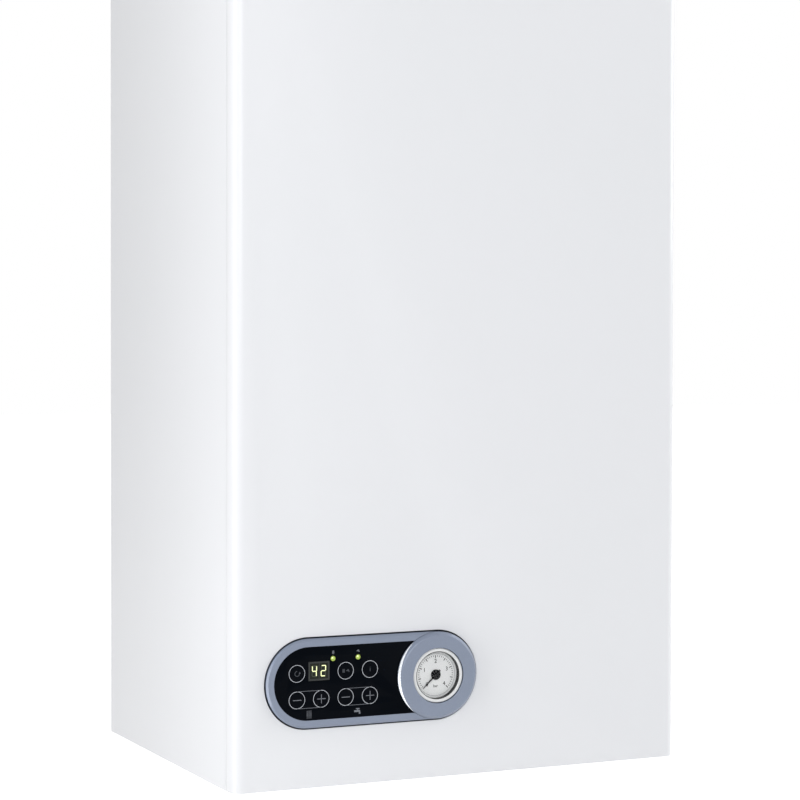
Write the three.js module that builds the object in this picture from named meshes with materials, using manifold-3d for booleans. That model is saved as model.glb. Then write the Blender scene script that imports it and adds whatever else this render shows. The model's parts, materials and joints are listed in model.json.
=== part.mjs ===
// A wall-hung combination boiler with a room-sealed burner, as an assembly of separate pieces.
// Units are millimetres. X runs to the right as seen from the front, Z runs up.
// The wall is the plane Y = 0 and the boiler stands out from it towards -Y.
// Places are given as x, out (the distance out from the wall) and z (the height above the casing's bottom).
// The finished group is lowered so that its origin is the middle of the wall bracket's back face.

import * as THREE from 'three';
import { mergeVertices } from 'three/addons/utils/BufferGeometryUtils.js';
import Module from 'manifold-3d';

const wasm = await Module();
wasm.setup();

// Clearances and counts shared by all pieces
const fit = 0.3; // gap between two pieces that touch
const overrun = 2; // how far a cutter runs past the face that it cuts
const roundSides = 20; // sides of a round piece
const smallSides = 10; // sides of a small round piece
const cornerSteps = 6; // steps round a quarter of a corner
const pipeSides = 8; // sides of a pipe
const pipeStep = 16; // length of one step along a pipe
const hexSides = 6;
const gridSteps = 1024; // grid steps in a millimetre
const weldDistance = 0.01;

// Casing
const casingWidth = 400;
const casingHeight = 700;
const casingDepth = 310;
const sheet = 1.2; // thickness of the painted sheet steel
const seam = 0.8; // joint line between the cover and a side panel
const coverWrap = 15; // how far the front cover's edges are folded back
const coverCorner = 8.7; // outer radius of the cover's upright corners
const coverLip = 6; // inward lip on the back of the cover's folded sides
const panelFlange = 11; // inward fold on a side panel's front edge
const panelWallGap = 1; // side panels stop this far from the wall
const frameThickness = 1.5;
const frameFlange = 25; // forward fold on the back frame's sides
const frameFoot = 2; // height of the back frame's lower edge
const plateEdge = 8; // fold on the edges of the top and bottom plates
const plateEdgeInset = 1.8; // the folds stand this far in from the plate's edge
const floorHeight = 6; // underside of the bottom plate
const floorSetback = 20; // from the casing's front to the bottom plate's edge

// Wall bracket
const bracketDrop = 60; // from the casing's top to the bracket's middle
const bracketWidth = 300;
const bracketTall = 40;
const bracketThickness = 2.5;
const hookWidth = 40;
const hookSpacing = 220; // between the middles of the two hooks
const hookRise = 12;
const hookReach = 9; // how far out the hooks stand
const slotMargin = 3; // room round a hook in the back frame's slot
const slotDrop = 14; // the slot reaches this far below the hook

// Control panel, as seen on the front
const panelMargin = 27; // from the casing's left side to the bezel
const panelWidth = 183;
const panelTall = 70.6;
const panelRise = 60.8; // from the control box's underside to the panel's middle
const panelGap = 1.2; // gap between the bezel and the cover's cut-out
const bezelBand = 6;
const bezelPlate = 3;
const bezelProud = 2.5; // how far the bezel's band stands in front of the cover
const bezelDish = 4.1; // how deep the bezel's plate lies behind its band
const bezelWall = 2.5;
const windowThickness = 3;
const discRise = 2.4; // how far the gauge's disc stands in front of the band, and the width of its chamfer
const discGap = 0.2; // between the disc and the bezel's round end

// Pressure gauge
const gaugeRadius = 22;
const gaugeWall = 1.2;
const gaugeProud = 1.6; // how far the gauge's rim stands in front of the band
const gaugeDeep = 31.1;
const gaugeFloor = 2; // thickness of the case's bottom
const gaugeLip = 0.2;
const dialMargin = 3.1; // from the dial's printed edge to the case's outside
const dialGap = 0.6;
const dialThickness = 0.8;
const lensGap = 0.4;
const lensThickness = 1;
const needleGap = 1.2;
const needleThickness = 0.6;
const needleMargin = 4.2; // from the needle's tip to the dial's edge
const needleTail = 5;
const needleWidth = 1.7;
const needleTip = 0.5;
const needleHub = 3.5;
const needleHubRise = 0.7;
const needlePin = 0.8;
const needlePinHole = 1.1;
const needleZero = 223; // degrees, anticlockwise from three o'clock
const stemRadius = 4;
const stemStand = 2; // how far the gauge's stem reaches behind the control box

// Buttons, display and lamps; the shares are of the panel's width left of the gauge's disc
const buttonRadius = 6.3;
const buttonGap = 0.4;
const buttonProud = 0.7;
const buttonCap = 8;
const buttonStem = 2.5;
const buttonDome = 0.6;
const buttonColumnShares = [0.23, 0.414, 0.6, 0.787];
const buttonUpperRise = 8.4; // of the upper row above the panel's middle
const buttonLowerDrop = 12.5; // of the lower row below the panel's middle
const displayLeftShare = 0.3185;
const displayWidthShare = 0.162;
const displayRise = 1.8;
const displayTall = 15.2;
const displaySunk = 0.5;
const displayFrame = 1.4;
const displayRecess = 0.6;
const lampRadius = 2;
const lampGap = 0.3;
const lampProud = 0.5;
const lampRise = 18.6;
const lampShares = [0.5044, 0.6966];

// Control box
const boxSideGap = 3; // between the box and the side panels' folds
const boxSetback = 12; // from the casing's front to the box's front
const boxDeep = 60;
const boxRise = 16; // from the casing's bottom plate to the box's underside
const boxTall = 138;
const boxWall = 2.5;
const boxCorner = 6;
const boxPostRadius = 4;
const boxPostInset = 22;
const boardSetback = 7.4; // from the box's front to the board
const boardThickness = 1.6;
const boardInset = 8;
const boardGaugeGap = 2;
const switchRadius = 3;
const switchTall = 1.5;
const switchGap = 1.1; // between a button's stem and its switch
const transformerWidth = 42;
const transformerTall = 36;
const transformerDeep = 32;
const relayWidth = 19;
const relayTall = 15;
const relayDeep = 16;
const relayPitch = 24;
const relayCount = 4;
const connectorWidth = 64;
const connectorTall = 10;
const connectorDeep = 12;
const hingeInset = 8; // of the hinge line from the box's front and underside
const hingePin = 3;
const earThickness = 1.5;
const earGap = 1.2;
const earHalfReach = 7;
const rearSlotTall = 9;
const rearSlotWidth = 120;

// Water and gas connections under the casing
const tailOut = 75; // distance of the connections from the wall
const tailMargin = 70; // from the outer connections to the casing's sides
const tailDrop = 25; // how far the connections reach below the casing
const bigTail = 13.2; // G 3/4 thread
const bigBore = 9.5;
const smallTail = 10.4; // G 1/2 thread
const smallBore = 7.5;
const tailHoleGap = 3;
const collarNutTall = 14; // the connections' hexagonal collars stand on the bottom plate
const collarNutGrowth = 5;
const groupHeight = 80;
const groupRadius = 16;
const groupOverhang = 16;

// Diverter on the flow group; heights are from the group's middle
const diverterRadius = 20;
const diverterDrop = 40;
const diverterRise = 70;
const diverterBore = 13;
const diverterBoreFloor = 10; // from the diverter's bottom to its chamber
const diverterBoreRoof = 12;
const diverterStem = 4;
const diverterSeal = 4.4;
const diverterDisc = 12;
const diverterDiscDrop = 8;
const diverterDiscTall = 8;
const diverterStemFoot = 12; // below the disc
const diverterStemReach = 10; // above the diverter's top
const diverterRecess = 5;
const diverterTravelRoom = 12;
const diverterMotorHalf = 23;
const diverterMotorDeep = 42;
const diverterMotorTall = 52;
const diverterMotorCorner = 5;
const mainPipe = 9;
const mainPipeBend = 26;
const flowBossRise = 50;
const flowArmRise = 28;
const bossRadius = 12;
const armRadius = 10;

// Plate heat exchanger
const plateDrop = 35; // from the groups' middle to its underside
const plateTall = 73;
const plateBackGap = 37; // from the groups' middle to its back
const plateDeep = 48;
const plateCount = 4;
const plateShare = 0.5;
const plateCorner = 14;
const plateInset = 1.5;
const platePortShare = 1.23; // place of the ports as a share of the connections' pitch
const platePortInset = 15; // of the ports from the exchanger's edges
const platePortRadius = 9;

// Pump and what stands on the return group
const pumpInset = 12; // of the pump's shaft from the return connection
const pumpRise = 98; // of the pump's shaft above the group's middle
const pumpBackGap = 15;
const voluteDeep = 38;
const voluteShare = 0.8; // volute's radius as a share of the connections' pitch
const voluteWall = 5;
const pumpNeckRadius = 15;
const pumpMotorInset = 6; // the motor's radius is this much less than the volute's
const pumpMotorGap = 33; // between the motor and the control box
const pumpMotorStep = 12;
const pumpPlugRadius = 13;
const pumpPlugDeep = 4;
const rotorShare = 0.48; // rotor's radius as a share of the volute's
const rotorDeep = 12;
const rotorShaft = 5;
const rotorShaftBore = 5.3;
const rotorShaftShare = 0.52; // part of the motor's depth that the shaft fills
const rotorVanes = 6;
const rotorVaneThickness = 2;
const rotorVaneRise = 5;
const rotorBackGap = 4;
const returnBossRise = 46;
const ventRadius = 13;
const ventRise = 14; // of the air vent above the volute
const ventCapRadius = 11;
const ventCapTall = 9;
const safetyOffset = 22; // from the return connection to the safety valve
const safetyReach = 50;
const safetyRadius = 12;
const safetyKnobRadius = 13;
const safetyKnobDeep = 19;
const knobLobes = 8;
const knobLobeShare = 0.14;
const fillingBossDrop = 40;
const fillingBoss = 9;
const fillingStem = 4;
const fillingBore = 4.4;
const fillingStemReach = 15;
const fillingKnobGap = 10; // between the filling tap's grip and the bottom plate
const fillingKnobTall = 18;
const fillingKnobRadius = 11;

// Gas valve
const valveHalfShare = 0.585; // half width as a share of the connections' pitch
const valveRise = 70; // from the groups' middle to the valve's underside
const valveTall = 72;
const valveBackGap = 15;
const valveDeep = 65;
const solenoidRadius = 14;
const solenoidDeep = 26;
const solenoidDrop = 24; // from the valve's top
const regulatorRadius = 17;
const regulatorDeep = 12;
const regulatorRise = 18; // from the valve's underside
const gasPipe = 9;
const gasBore = 7;
const gasNutTall = 18;
const gasNutGrowth = 6;

// Expansion vessel
const vesselBackGap = 3.7; // between the back frame and the vessel
const vesselDeep = 71;
const vesselSideGap = 18; // from the casing's sides
const vesselLowGap = 26; // from the air box's underside
const vesselTopGap = 36; // from the air box's top
const vesselWall = 1.5;
const vesselRim = 5; // half the width of the seam that joins the two halves
const vesselRimReach = 5;
const vesselStud = 15;
const vesselPortShare = 0.5; // place of its port as a share of its radius
const vesselPipeGap = 2; // between its pipe and the pump's neck
const vesselPortRadius = 8;
const vesselPipeRadius = 5;
const vesselPipeReach = 35; // from the vessel's back to its pipe
const vesselPipeBendRise = 48;

// Sealed air box
const airSideGap = 15; // from the casing's sides
const airBackGap = 3;
const airSetback = 38; // from the casing's front
const airLowGap = 9; // above the pump's air vent
const airTopGap = 12; // from the casing's top
const airEarTall = 40;
const grommetGap = 1.5; // room for a rubber grommet where a pipe passes through the air box
const coverFold = 9;
const coverLap = 0.6; // gap between the air box and the folds of its cover
const sightRise = 45; // above the combustion chamber's underside
const sightRadius = 14;
const sightHole = 11;
const sightThickness = 3;
const ribInset = 40; // pressed ribs on the air box cover
const ribWidth = 10;
const ribDepth = 2;
const mainPipeGap = 25; // between the air box's sides and the middle of the water pipes

// Combustion chamber and burner; tall shares are of the height from its underside to the air box's top
const chamberSideGap = 38; // between the water pipes and the chamber
const chamberBackGap = 16;
const chamberFrontGap = 14;
const chamberRise = 43; // above the air box's underside
const chamberTallShare = 0.3525;
const chamberLip = 13;
const chamberLegTall = 8;
const liningThickness = 12;
const electrodePlace = 50;
const electrodeRise = 18; // above the burner
const electrodePitch = 14;
const electrodeRadius = 3;
const electrodeTip = 1;
const electrodePlateWidth = 34;
const electrodePlateTall = 20;
const electrodePlateThickness = 3;
const electrodeWindow = 24;
const electrodeWindowTall = 8;
const burnerSideGap = 17;
const burnerGap = 18; // between the burner and the chamber's back and front
const burnerDrop = 17; // the burner's tray reaches this far below the chamber, its blades this far into it
const burnerBlades = 11;
const burnerBladeShare = 0.55; // blade width as a share of the pitch
const burnerEar = 3;
const manifoldInset = 6;
const manifoldDrop = 9;
const manifoldRadius = 7.5;
const injectorRadius = 3.5;
const riserRadius = 7;
const riserDrop = 13; // of the pipe's run below the burner
const riserBackGap = 10;

// Main heat exchanger, hood and fan
const exchangerTallShare = 0.157;
const finCount = 18;
const finShare = 0.25; // fin thickness as a share of the fins' pitch
const exchangerTubeRadius = 8;
const exchangerTubeCount = 5;
const exchangerEndPlate = 2;
const exchangerInset = 6;
const hoodLip = 12;
const hoodStepShare = 0.26; // height at which the sloping front ends, as a share of the hood's height
const hoodDeepShare = 0.3875; // depth of its upright part as a share of the chamber's
const hoodTopGap = 16;
const fanDeepShare = 0.5; // of the depth in front of the hood
const fanMotorShare = 0.357; // of the depth in front of the hood
const fanLargeShare = 0.419; // scroll radius at its outlet as a share of the hood's height
const fanSmallShare = 0.625; // scroll radius at its tongue as a share of the one at its outlet
const fanDropShare = 0.79; // of the shaft below the outlet, as a share of the scroll's outlet radius
const fanTongue = 35; // degrees
const fanSteps = 22;
const fanWall = 1.5;
const fanFlange = 8;
const spigotRise = 4; // above the air box
const impellerGrowth = 5; // the scroll's tongue clears the impeller by this
const impellerInletGap = 8;
const impellerRing = 7;
const impellerShare = 0.6; // depth as a share of the housing's
const impellerGap = 7; // between the impeller and the scroll's front wall
const impellerBlades = 14;
const impellerPlate = 1.5;
const impellerHub = 9;
const bladeThickness = 1.2;
const shaftRadius = 3;
const shaftBore = 3.3;
const shaftShare = 0.4; // part of the motor's depth that the shaft fills
const fanMotorInset = 12;
const fanMotorFootInset = 3;
const fanMotorFootThickness = 3;
const collarFlangeGrowth = 14;
const collarFlangeThickness = 3;
const collarSpace = 20; // between the two tubes' radii
const collarSpigotGap = 2.5;
const collarWall = 2;
const collarRise = 33; // above the casing
const collarOuterDrop = 4; // below the air box's top
const collarInnerDrop = 12;
const collarHoleGap = 1;
const collarRib = 2;
const collarRibFoot = 6; // above the air box's top
const collarRibDrop = 11; // below the collar's top
const switchDrumRadius = 28;
const switchDrumDeep = 26;
const switchDrumOffset = 17; // in front of the flue's middle
const switchDrumDrop = 15; // below the fan's shaft
const switchBracket = 22;
const nippleRadius = 3;
const nippleLength = 10;
const hoseRadius = 4;

// Values that follow from the sizes above: casing and control panel
const tau = 2 * Math.PI;
const degree = Math.PI / 180;
const halfWidth = casingWidth / 2;
const insideHalf = halfWidth - sheet - fit; // half width between the side panels
const panelFrontOut = casingDepth - coverWrap - seam;
const frameBackOut = bracketThickness + fit;
const frameFrontOut = frameBackOut + frameThickness;
const plateBack = frameFrontOut + fit;
const floorReach = casingDepth - floorSetback;
const floorTop = floorHeight + sheet;
const bracketHeight = casingHeight - bracketDrop;
const boxHalfWidth = halfWidth - panelFlange - boxSideGap;
const boxFrontOut = casingDepth - boxSetback;
const boxBackOut = boxFrontOut - boxDeep;
const boxLow = floorHeight + boxRise;
const boxHigh = boxLow + boxTall;
const rearCoverOut = boxBackOut + boxWall;
const boardFrontOut = boxFrontOut - boardSetback;
const switchFrontOut = boardFrontOut + switchTall;
const hingeOut = boxFrontOut - hingeInset;
const hingeHeight = boxLow + hingeInset;
const panelLeft = panelMargin - halfWidth;
const panelRadius = panelTall / 2;
const panelRight = panelLeft + panelWidth;
const panelCentreHeight = boxLow + panelRise;
const discRadius = panelRadius - discGap;
const keyRoom = panelWidth - panelTall; // width of the panel left of the disc
const bezelFrontOut = casingDepth + bezelProud;
const bezelPlateFront = bezelFrontOut - bezelDish;
const bezelPlateOut = bezelPlateFront - bezelPlate;
const windowBackOut = bezelPlateFront + fit;
const windowFrontOut = windowBackOut + windowThickness;
const gaugeX = panelRight - panelRadius;
const gaugeHeight = panelCentreHeight;
const gaugeFrontOut = bezelFrontOut + gaugeProud;
const gaugeBackOut = gaugeFrontOut - gaugeDeep;
const stemEndOut = boxBackOut - stemStand;
const lensRadius = gaugeRadius - gaugeWall - lensGap;
const lensOut = gaugeFrontOut - gaugeWall - gaugeLip - fit - lensThickness;
const needleOut = lensOut - needleGap - needleThickness;
const dialOut = needleOut - dialGap - dialThickness;
const dialRadius = gaugeRadius - dialMargin;
const needleLength = dialRadius - needleMargin;
const buttonHole = buttonRadius + buttonGap;
const buttonFrontOut = windowFrontOut + buttonProud;
const buttonBackOut = switchFrontOut + switchGap;
const buttonColumns = buttonColumnShares.map((share) => panelLeft + keyRoom * share);
const buttonUpperRow = panelCentreHeight + buttonUpperRise;
const buttonLowerRow = panelCentreHeight - buttonLowerDrop;
const displayLeft = panelLeft + keyRoom * displayLeftShare;
const displayWidth = keyRoom * displayWidthShare;
const displayLow = panelCentreHeight + displayRise;
const displayFrontOut = windowFrontOut - displaySunk;
const lampHole = lampRadius + lampGap;
const lampFrontOut = windowFrontOut + lampProud;
const lampHeight = panelCentreHeight + lampRise;
const lampPlaces = lampShares.map((share) => panelLeft + keyRoom * share);

// Values that follow: water and gas side
const tailPitch = (halfWidth - tailMargin) / 2;
const tailLow = -tailDrop;
const flowX = -2 * tailPitch;
const hotX = -tailPitch;
const coldX = tailPitch;
const returnX = 2 * tailPitch;
const collarNutLow = floorTop + fit;
const collarNutHigh = collarNutLow + collarNutTall;
const diverterLow = groupHeight - diverterDrop;
const diverterHigh = groupHeight + diverterRise;
const diverterBoreLow = diverterLow + diverterBoreFloor;
const diverterBoreHigh = diverterHigh - diverterBoreRoof;
const diverterDiscLow = groupHeight - diverterDiscDrop;
const diverterDiscHigh = diverterDiscLow + diverterDiscTall;
const diverterStemLow = diverterDiscLow - diverterStemFoot;
const diverterStemHigh = diverterHigh + diverterStemReach;
const flowBossHigh = groupHeight + flowBossRise;
const flowArmHeight = groupHeight + flowArmRise;
const platePortX = tailPitch * platePortShare;
const plateHalfWidth = platePortX + platePortInset;
const plateLow = groupHeight - plateDrop;
const plateHigh = plateLow + plateTall;
const platePortLow = plateLow + platePortInset;
const platePortHigh = plateHigh - platePortInset;
const plateBackOut = tailOut + plateBackGap;
const plateFrontOut = plateBackOut + plateDeep;
const pumpX = returnX - pumpInset;
const pumpHeight = groupHeight + pumpRise;
const pumpBackOut = tailOut + pumpBackGap;
const voluteRadius = tailPitch * voluteShare;
const voluteFrontOut = pumpBackOut + voluteDeep;
const pumpMotorOut = voluteFrontOut + fit;
const pumpMotorDeep = boxBackOut - pumpMotorGap - pumpMotorOut;
const pumpMotorRadius = voluteRadius - pumpMotorInset;
const rotorRadius = voluteRadius * rotorShare;
const rotorShaftInMotor = pumpMotorDeep * rotorShaftShare;
const mainPipeOut = pumpBackOut + voluteDeep / 2;
const returnBossHigh = pumpHeight + returnBossRise;
const ventHigh = pumpHeight + voluteRadius + ventRise;
const safetyX = returnX + safetyOffset;
const safetyFrontOut = tailOut + safetyReach;
const fillingX = (coldX + returnX) / 2;
const fillingBossLow = groupHeight - fillingBossDrop;
const fillingStemHigh = fillingBossLow + fillingStemReach;
const fillingKnobHigh = floorHeight - fillingKnobGap;
const fillingKnobLow = fillingKnobHigh - fillingKnobTall;
const valveHalfWidth = tailPitch * valveHalfShare;
const valveLow = groupHeight + valveRise;
const valveHigh = valveLow + valveTall;
const valveBackOut = tailOut - valveBackGap;
const valveFrontOut = valveBackOut + valveDeep;
const solenoidHeight = valveHigh - solenoidDrop;
const regulatorHeight = valveLow + regulatorRise;
const gasNutLow = valveLow - gasNutTall;

// Values that follow: air box, burner, heat exchanger and fan
const airLow = ventHigh + ventCapTall + airLowGap;
const airHigh = casingHeight - airTopGap;
const airHalfWidth = halfWidth - airSideGap;
const vesselBackOut = frameFrontOut + vesselBackGap;
const vesselFrontOut = vesselBackOut + vesselDeep;
const vesselLow = airLow + vesselLowGap;
const vesselHigh = airHigh - vesselTopGap;
const vesselHeight = (vesselLow + vesselHigh) / 2;
const vesselRadius = Math.min(halfWidth - vesselSideGap, (vesselHigh - vesselLow) / 2); // the smaller room
const vesselPort = vesselRadius * vesselPortShare;
const vesselPipeX = pumpX + pumpNeckRadius + vesselPipeRadius + vesselPipeGap;
const vesselPipeOut = vesselBackOut + vesselPipeReach;
const vesselPipeBendHeight = groupHeight + vesselPipeBendRise;
const airBackOut = vesselFrontOut + airBackGap;
const airFrontOut = casingDepth - airSetback;
const mainPipeX = airHalfWidth - mainPipeGap;
const chamberHalfWidth = mainPipeX - chamberSideGap;
const chamberBackOut = airBackOut + chamberBackGap;
const chamberFrontOut = airFrontOut - chamberFrontGap;
const chamberLow = airLow + chamberRise;
const stackTall = airHigh - chamberLow;
const chamberHigh = chamberLow + stackTall * chamberTallShare;
const sightHeight = chamberLow + sightRise;
const burnerHalfWidth = chamberHalfWidth - burnerSideGap;
const burnerBackOut = chamberBackOut + burnerGap;
const burnerFrontOut = chamberFrontOut - burnerGap;
const burnerLow = chamberLow - burnerDrop;
const burnerHigh = chamberLow + burnerDrop;
const electrodeHeight = burnerHigh + electrodeRise;
const manifoldOut = chamberFrontOut - manifoldInset;
const manifoldHeight = chamberLow - manifoldDrop;
const riserOut = airBackOut + riserBackGap;
const riserRunHeight = burnerLow - riserDrop;
const exchangerLow = chamberHigh + fit;
const exchangerHigh = chamberHigh + stackTall * exchangerTallShare;
const exchangerPortHeight = (exchangerLow + exchangerHigh) / 2;
const exchangerTubePitch = (chamberFrontOut - chamberBackOut - 2 * exchangerInset) / exchangerTubeCount;
const exchangerTubeOut = (i) => chamberBackOut + exchangerInset + (i + 1 / 2) * exchangerTubePitch;
const flowPipeOut = exchangerTubeOut(0);
const returnPortOut = exchangerTubeOut(exchangerTubeCount - 1);
const hoodLow = exchangerHigh + fit;
const hoodHigh = airHigh - hoodTopGap;
const hoodTall = hoodHigh - exchangerHigh;
const hoodStep = exchangerHigh + hoodTall * hoodStepShare;
const hoodFrontOut = chamberBackOut + (chamberFrontOut - chamberBackOut) * hoodDeepShare;
const fanRoom = airFrontOut - hoodFrontOut;
const fanBackOut = hoodFrontOut + fit;
const fanDeep = fanRoom * fanDeepShare;
const fanFrontOut = fanBackOut + fanDeep;
const fanLarge = hoodTall * fanLargeShare;
const fanSmall = fanLarge * fanSmallShare;
const fanOutletHigh = hoodHigh;
const fanHeight = fanOutletHigh - fanLarge * fanDropShare;
const spigotRadius = fanDeep / 2 + fanWall;
const spigotHigh = airHigh + spigotRise;
const fanX = spigotRadius - fanLarge;
const impellerRadius = fanSmall - impellerGrowth;
const impellerDeep = fanDeep * impellerShare;
const fanInlet = impellerRadius - impellerInletGap;
const fanMotorOut = fanFrontOut + fit;
const fanMotorDeep = fanRoom * fanMotorShare;
const shaftIntoMotor = fanMotorDeep * shaftShare;
const fanMotorRadius = fanSmall - fanMotorInset;
const fanMotorFoot = fanSmall - fanMotorFootInset;
const collarOut = fanBackOut + fanDeep / 2;
const collarInner = spigotRadius + collarSpigotGap;
const collarOuter = collarInner + collarSpace;
const collarFlange = collarOuter + collarFlangeGrowth;
const collarHigh = casingHeight + collarRise;
const collarOuterLow = airHigh - collarOuterDrop;
const collarInnerLow = airHigh - collarInnerDrop;
const collarRibLow = airHigh + collarRibFoot;
const collarRibHigh = collarHigh - collarRibDrop;
const switchDrumOut = collarOut + switchDrumOffset;
const switchDrumHeight = fanHeight - switchDrumDrop;

// Finishes: colour, roughness and metalness
const whitePaint = { color: 0xeff0f2, roughness: 0.35, metalness: 0 };
const galvanised = { color: 0xb9bdc0, roughness: 0.45, metalness: 0.9 };
const aluminised = { color: 0xc9cbcc, roughness: 0.4, metalness: 0.9 };
const silverPlastic = { color: 0x8995aa, roughness: 0.38, metalness: 0.3 };
const blackGloss = { color: 0x0b0b0d, roughness: 0.08, metalness: 0 };
const blackPlastic = { color: 0x1c1d20, roughness: 0.5, metalness: 0 };
const greyPlastic = { color: 0x6f7378, roughness: 0.55, metalness: 0 };
const whitePlastic = { color: 0xe9e9e6, roughness: 0.4, metalness: 0 };
const bluePlastic = { color: 0x2d5b9a, roughness: 0.45, metalness: 0 };
const redPlastic = { color: 0xa8281f, roughness: 0.45, metalness: 0 };
const greenLamp = { color: 0xb9d94a, roughness: 0.25, metalness: 0 };
const clearGlass = { color: 0xdfe8ea, roughness: 0.05, metalness: 0, transparent: true, opacity: 0.35 };
const circuitGreen = { color: 0x2c6b3f, roughness: 0.55, metalness: 0 };
const copper = { color: 0xb5713f, roughness: 0.3, metalness: 1 };
const brass = { color: 0xb99a55, roughness: 0.35, metalness: 1 };
const stainless = { color: 0xb4b6b8, roughness: 0.3, metalness: 1 };
const castAluminium = { color: 0xa4a7aa, roughness: 0.5, metalness: 0.9 };
const redPaint = { color: 0x9c2b22, roughness: 0.5, metalness: 0 };
const darkPaint = { color: 0x2f3338, roughness: 0.5, metalness: 0.2 };
const ceramicFibre = { color: 0xe6e0d2, roughness: 0.95, metalness: 0 };
const siliconeHose = { color: 0xc9c4b4, roughness: 0.6, metalness: 0 };

// A place on the boiler
const at = (x, out, z) => new THREE.Vector3(x, -out, z);

// Faces that should lie in one plane do so exactly once their corners are rounded to a fine grid
const onGrid = (value) => Math.round(value * gridSteps) / gridSteps;

// Closed three.js geometry to a solid that can be cut and joined
function solidOf(geometry) {
  const bare = geometry.index ? geometry : geometry.clone();
  bare.deleteAttribute('normal');
  bare.deleteAttribute('uv');
  const merged = mergeVertices(bare);
  const vertProperties = new Float32Array(merged.attributes.position.array).map(onGrid);
  const triVerts = new Uint32Array(merged.index.array);
  const solid = new wasm.Manifold(new wasm.Mesh({ numProp: 3, vertProperties, triVerts }));
  if (solid.volume() > 0) return solid;
  const turned = new Uint32Array(triVerts).reverse();
  return new wasm.Manifold(new wasm.Mesh({ numProp: 3, vertProperties, triVerts: turned }));
}

const join = (first, ...others) => others.reduce((whole, next) => whole.add(next), first);
const cut = (first, ...cutters) => cutters.reduce((whole, next) => whole.subtract(next), first);

// Cuts leave corners a hair apart; they are drawn together and the faces that close up are dropped
function withoutSlivers(mesh) {
  const geometry = new THREE.BufferGeometry();
  geometry.setAttribute('position', new THREE.BufferAttribute(new Float32Array(mesh.vertProperties), 3));
  geometry.setIndex(new THREE.BufferAttribute(new Uint32Array(mesh.triVerts), 1));
  const welded = mergeVertices(geometry, weldDistance);
  const corners = Array.from(welded.index.array);
  const kept = corners.filter((_, i) => {
    const [a, b, c] = corners.slice(i - i % 3, i - i % 3 + 3);
    return a !== b && b !== c && c !== a;
  });
  welded.setIndex(kept);
  return welded;
}

// A named piece of the boiler with its own material
function piece(name, solid, finish) {
  const geometry = withoutSlivers(solid.simplify(weldDistance).getMesh());
  geometry.computeVertexNormals();
  const made = new THREE.Mesh(geometry, new THREE.MeshStandardMaterial(finish));
  made.name = name;
  return made;
}

function block(x0, x1, out0, out1, z0, z1) {
  const geometry = new THREE.BoxGeometry(Math.abs(x1 - x0), Math.abs(out1 - out0), Math.abs(z1 - z0));
  geometry.translate((x0 + x1) / 2, -(out0 + out1) / 2, (z0 + z1) / 2);
  return solidOf(geometry);
}

// A round bar from one place to another, tapering if its tip has a radius of its own
function rod(from, to, radius, sides = roundSides, tip = radius) {
  const length = from.distanceTo(to);
  const geometry = new THREE.CylinderGeometry(tip, radius, length, sides);
  geometry.translate(0, length / 2, 0);
  const along = to.clone().sub(from).normalize();
  geometry.applyQuaternion(new THREE.Quaternion().setFromUnitVectors(new THREE.Vector3(0, 1, 0), along));
  geometry.translate(from.x, from.y, from.z);
  return solidOf(geometry);
}

const rodOut = (x, z, out0, out1, radius, sides) => rod(at(x, out0, z), at(x, out1, z), radius, sides);
const rodUp = (x, out, z0, z1, radius, sides) => rod(at(x, out, z0), at(x, out, z1), radius, sides);
const rodAcross = (out, z, x0, x1, radius, sides) => rod(at(x0, out, z), at(x1, out, z), radius, sides);

// An outline seen from the front, drawn in x and z, given a thickness outwards from the wall
function frontOutline(shape, out0, out1, steps = cornerSteps * 2) {
  const geometry = new THREE.ExtrudeGeometry(shape, {
    depth: out1 - out0, bevelEnabled: false, curveSegments: steps,
  });
  geometry.rotateX(Math.PI / 2);
  geometry.translate(0, -out0, 0);
  return solidOf(geometry);
}

// An outline seen from the left, drawn in out and z, given a width along x
function sideOutline(shape, x0, x1) {
  const geometry = new THREE.ExtrudeGeometry(shape, {
    depth: x1 - x0, bevelEnabled: false, curveSegments: cornerSteps,
  });
  const turn = new THREE.Matrix4().makeBasis(
    new THREE.Vector3(0, -1, 0), new THREE.Vector3(0, 0, 1), new THREE.Vector3(-1, 0, 0));
  geometry.applyMatrix4(turn);
  geometry.translate(x1, 0, 0);
  return solidOf(geometry);
}

// An outline seen from above, drawn in x and y, given a height
function planOutline(shape, z0, z1) {
  const geometry = new THREE.ExtrudeGeometry(shape, {
    depth: z1 - z0, bevelEnabled: false, curveSegments: cornerSteps,
  });
  geometry.translate(0, 0, z0);
  return solidOf(geometry);
}

// A turned piece whose axis points out from the wall; its profile is [radius, out], from axis to axis
function turnedOut(profile, x, z, sides = roundSides) {
  const points = profile.map(([radius, out]) => new THREE.Vector2(radius, -out));
  const geometry = new THREE.LatheGeometry(points, sides);
  geometry.translate(x, 0, z);
  return solidOf(geometry);
}

function stadium(x0, x1, z0, z1) {
  const radius = (z1 - z0) / 2;
  const middle = (z0 + z1) / 2;
  const shape = new THREE.Shape();
  shape.absarc(x1 - radius, middle, radius, -Math.PI / 2, Math.PI / 2, false);
  shape.absarc(x0 + radius, middle, radius, Math.PI / 2, 3 * Math.PI / 2, false);
  shape.closePath();
  return shape;
}

function roundedRectangle(x0, x1, y0, y1, radius) {
  const shape = new THREE.Shape();
  shape.absarc(x1 - radius, y0 + radius, radius, -Math.PI / 2, 0, false);
  shape.absarc(x1 - radius, y1 - radius, radius, 0, Math.PI / 2, false);
  shape.absarc(x0 + radius, y1 - radius, radius, Math.PI / 2, Math.PI, false);
  shape.absarc(x0 + radius, y0 + radius, radius, Math.PI, 3 * Math.PI / 2, false);
  shape.closePath();
  return shape;
}

function polygon(points) {
  return new THREE.Shape(points.map(([u, v]) => new THREE.Vector2(u, v)));
}

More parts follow.
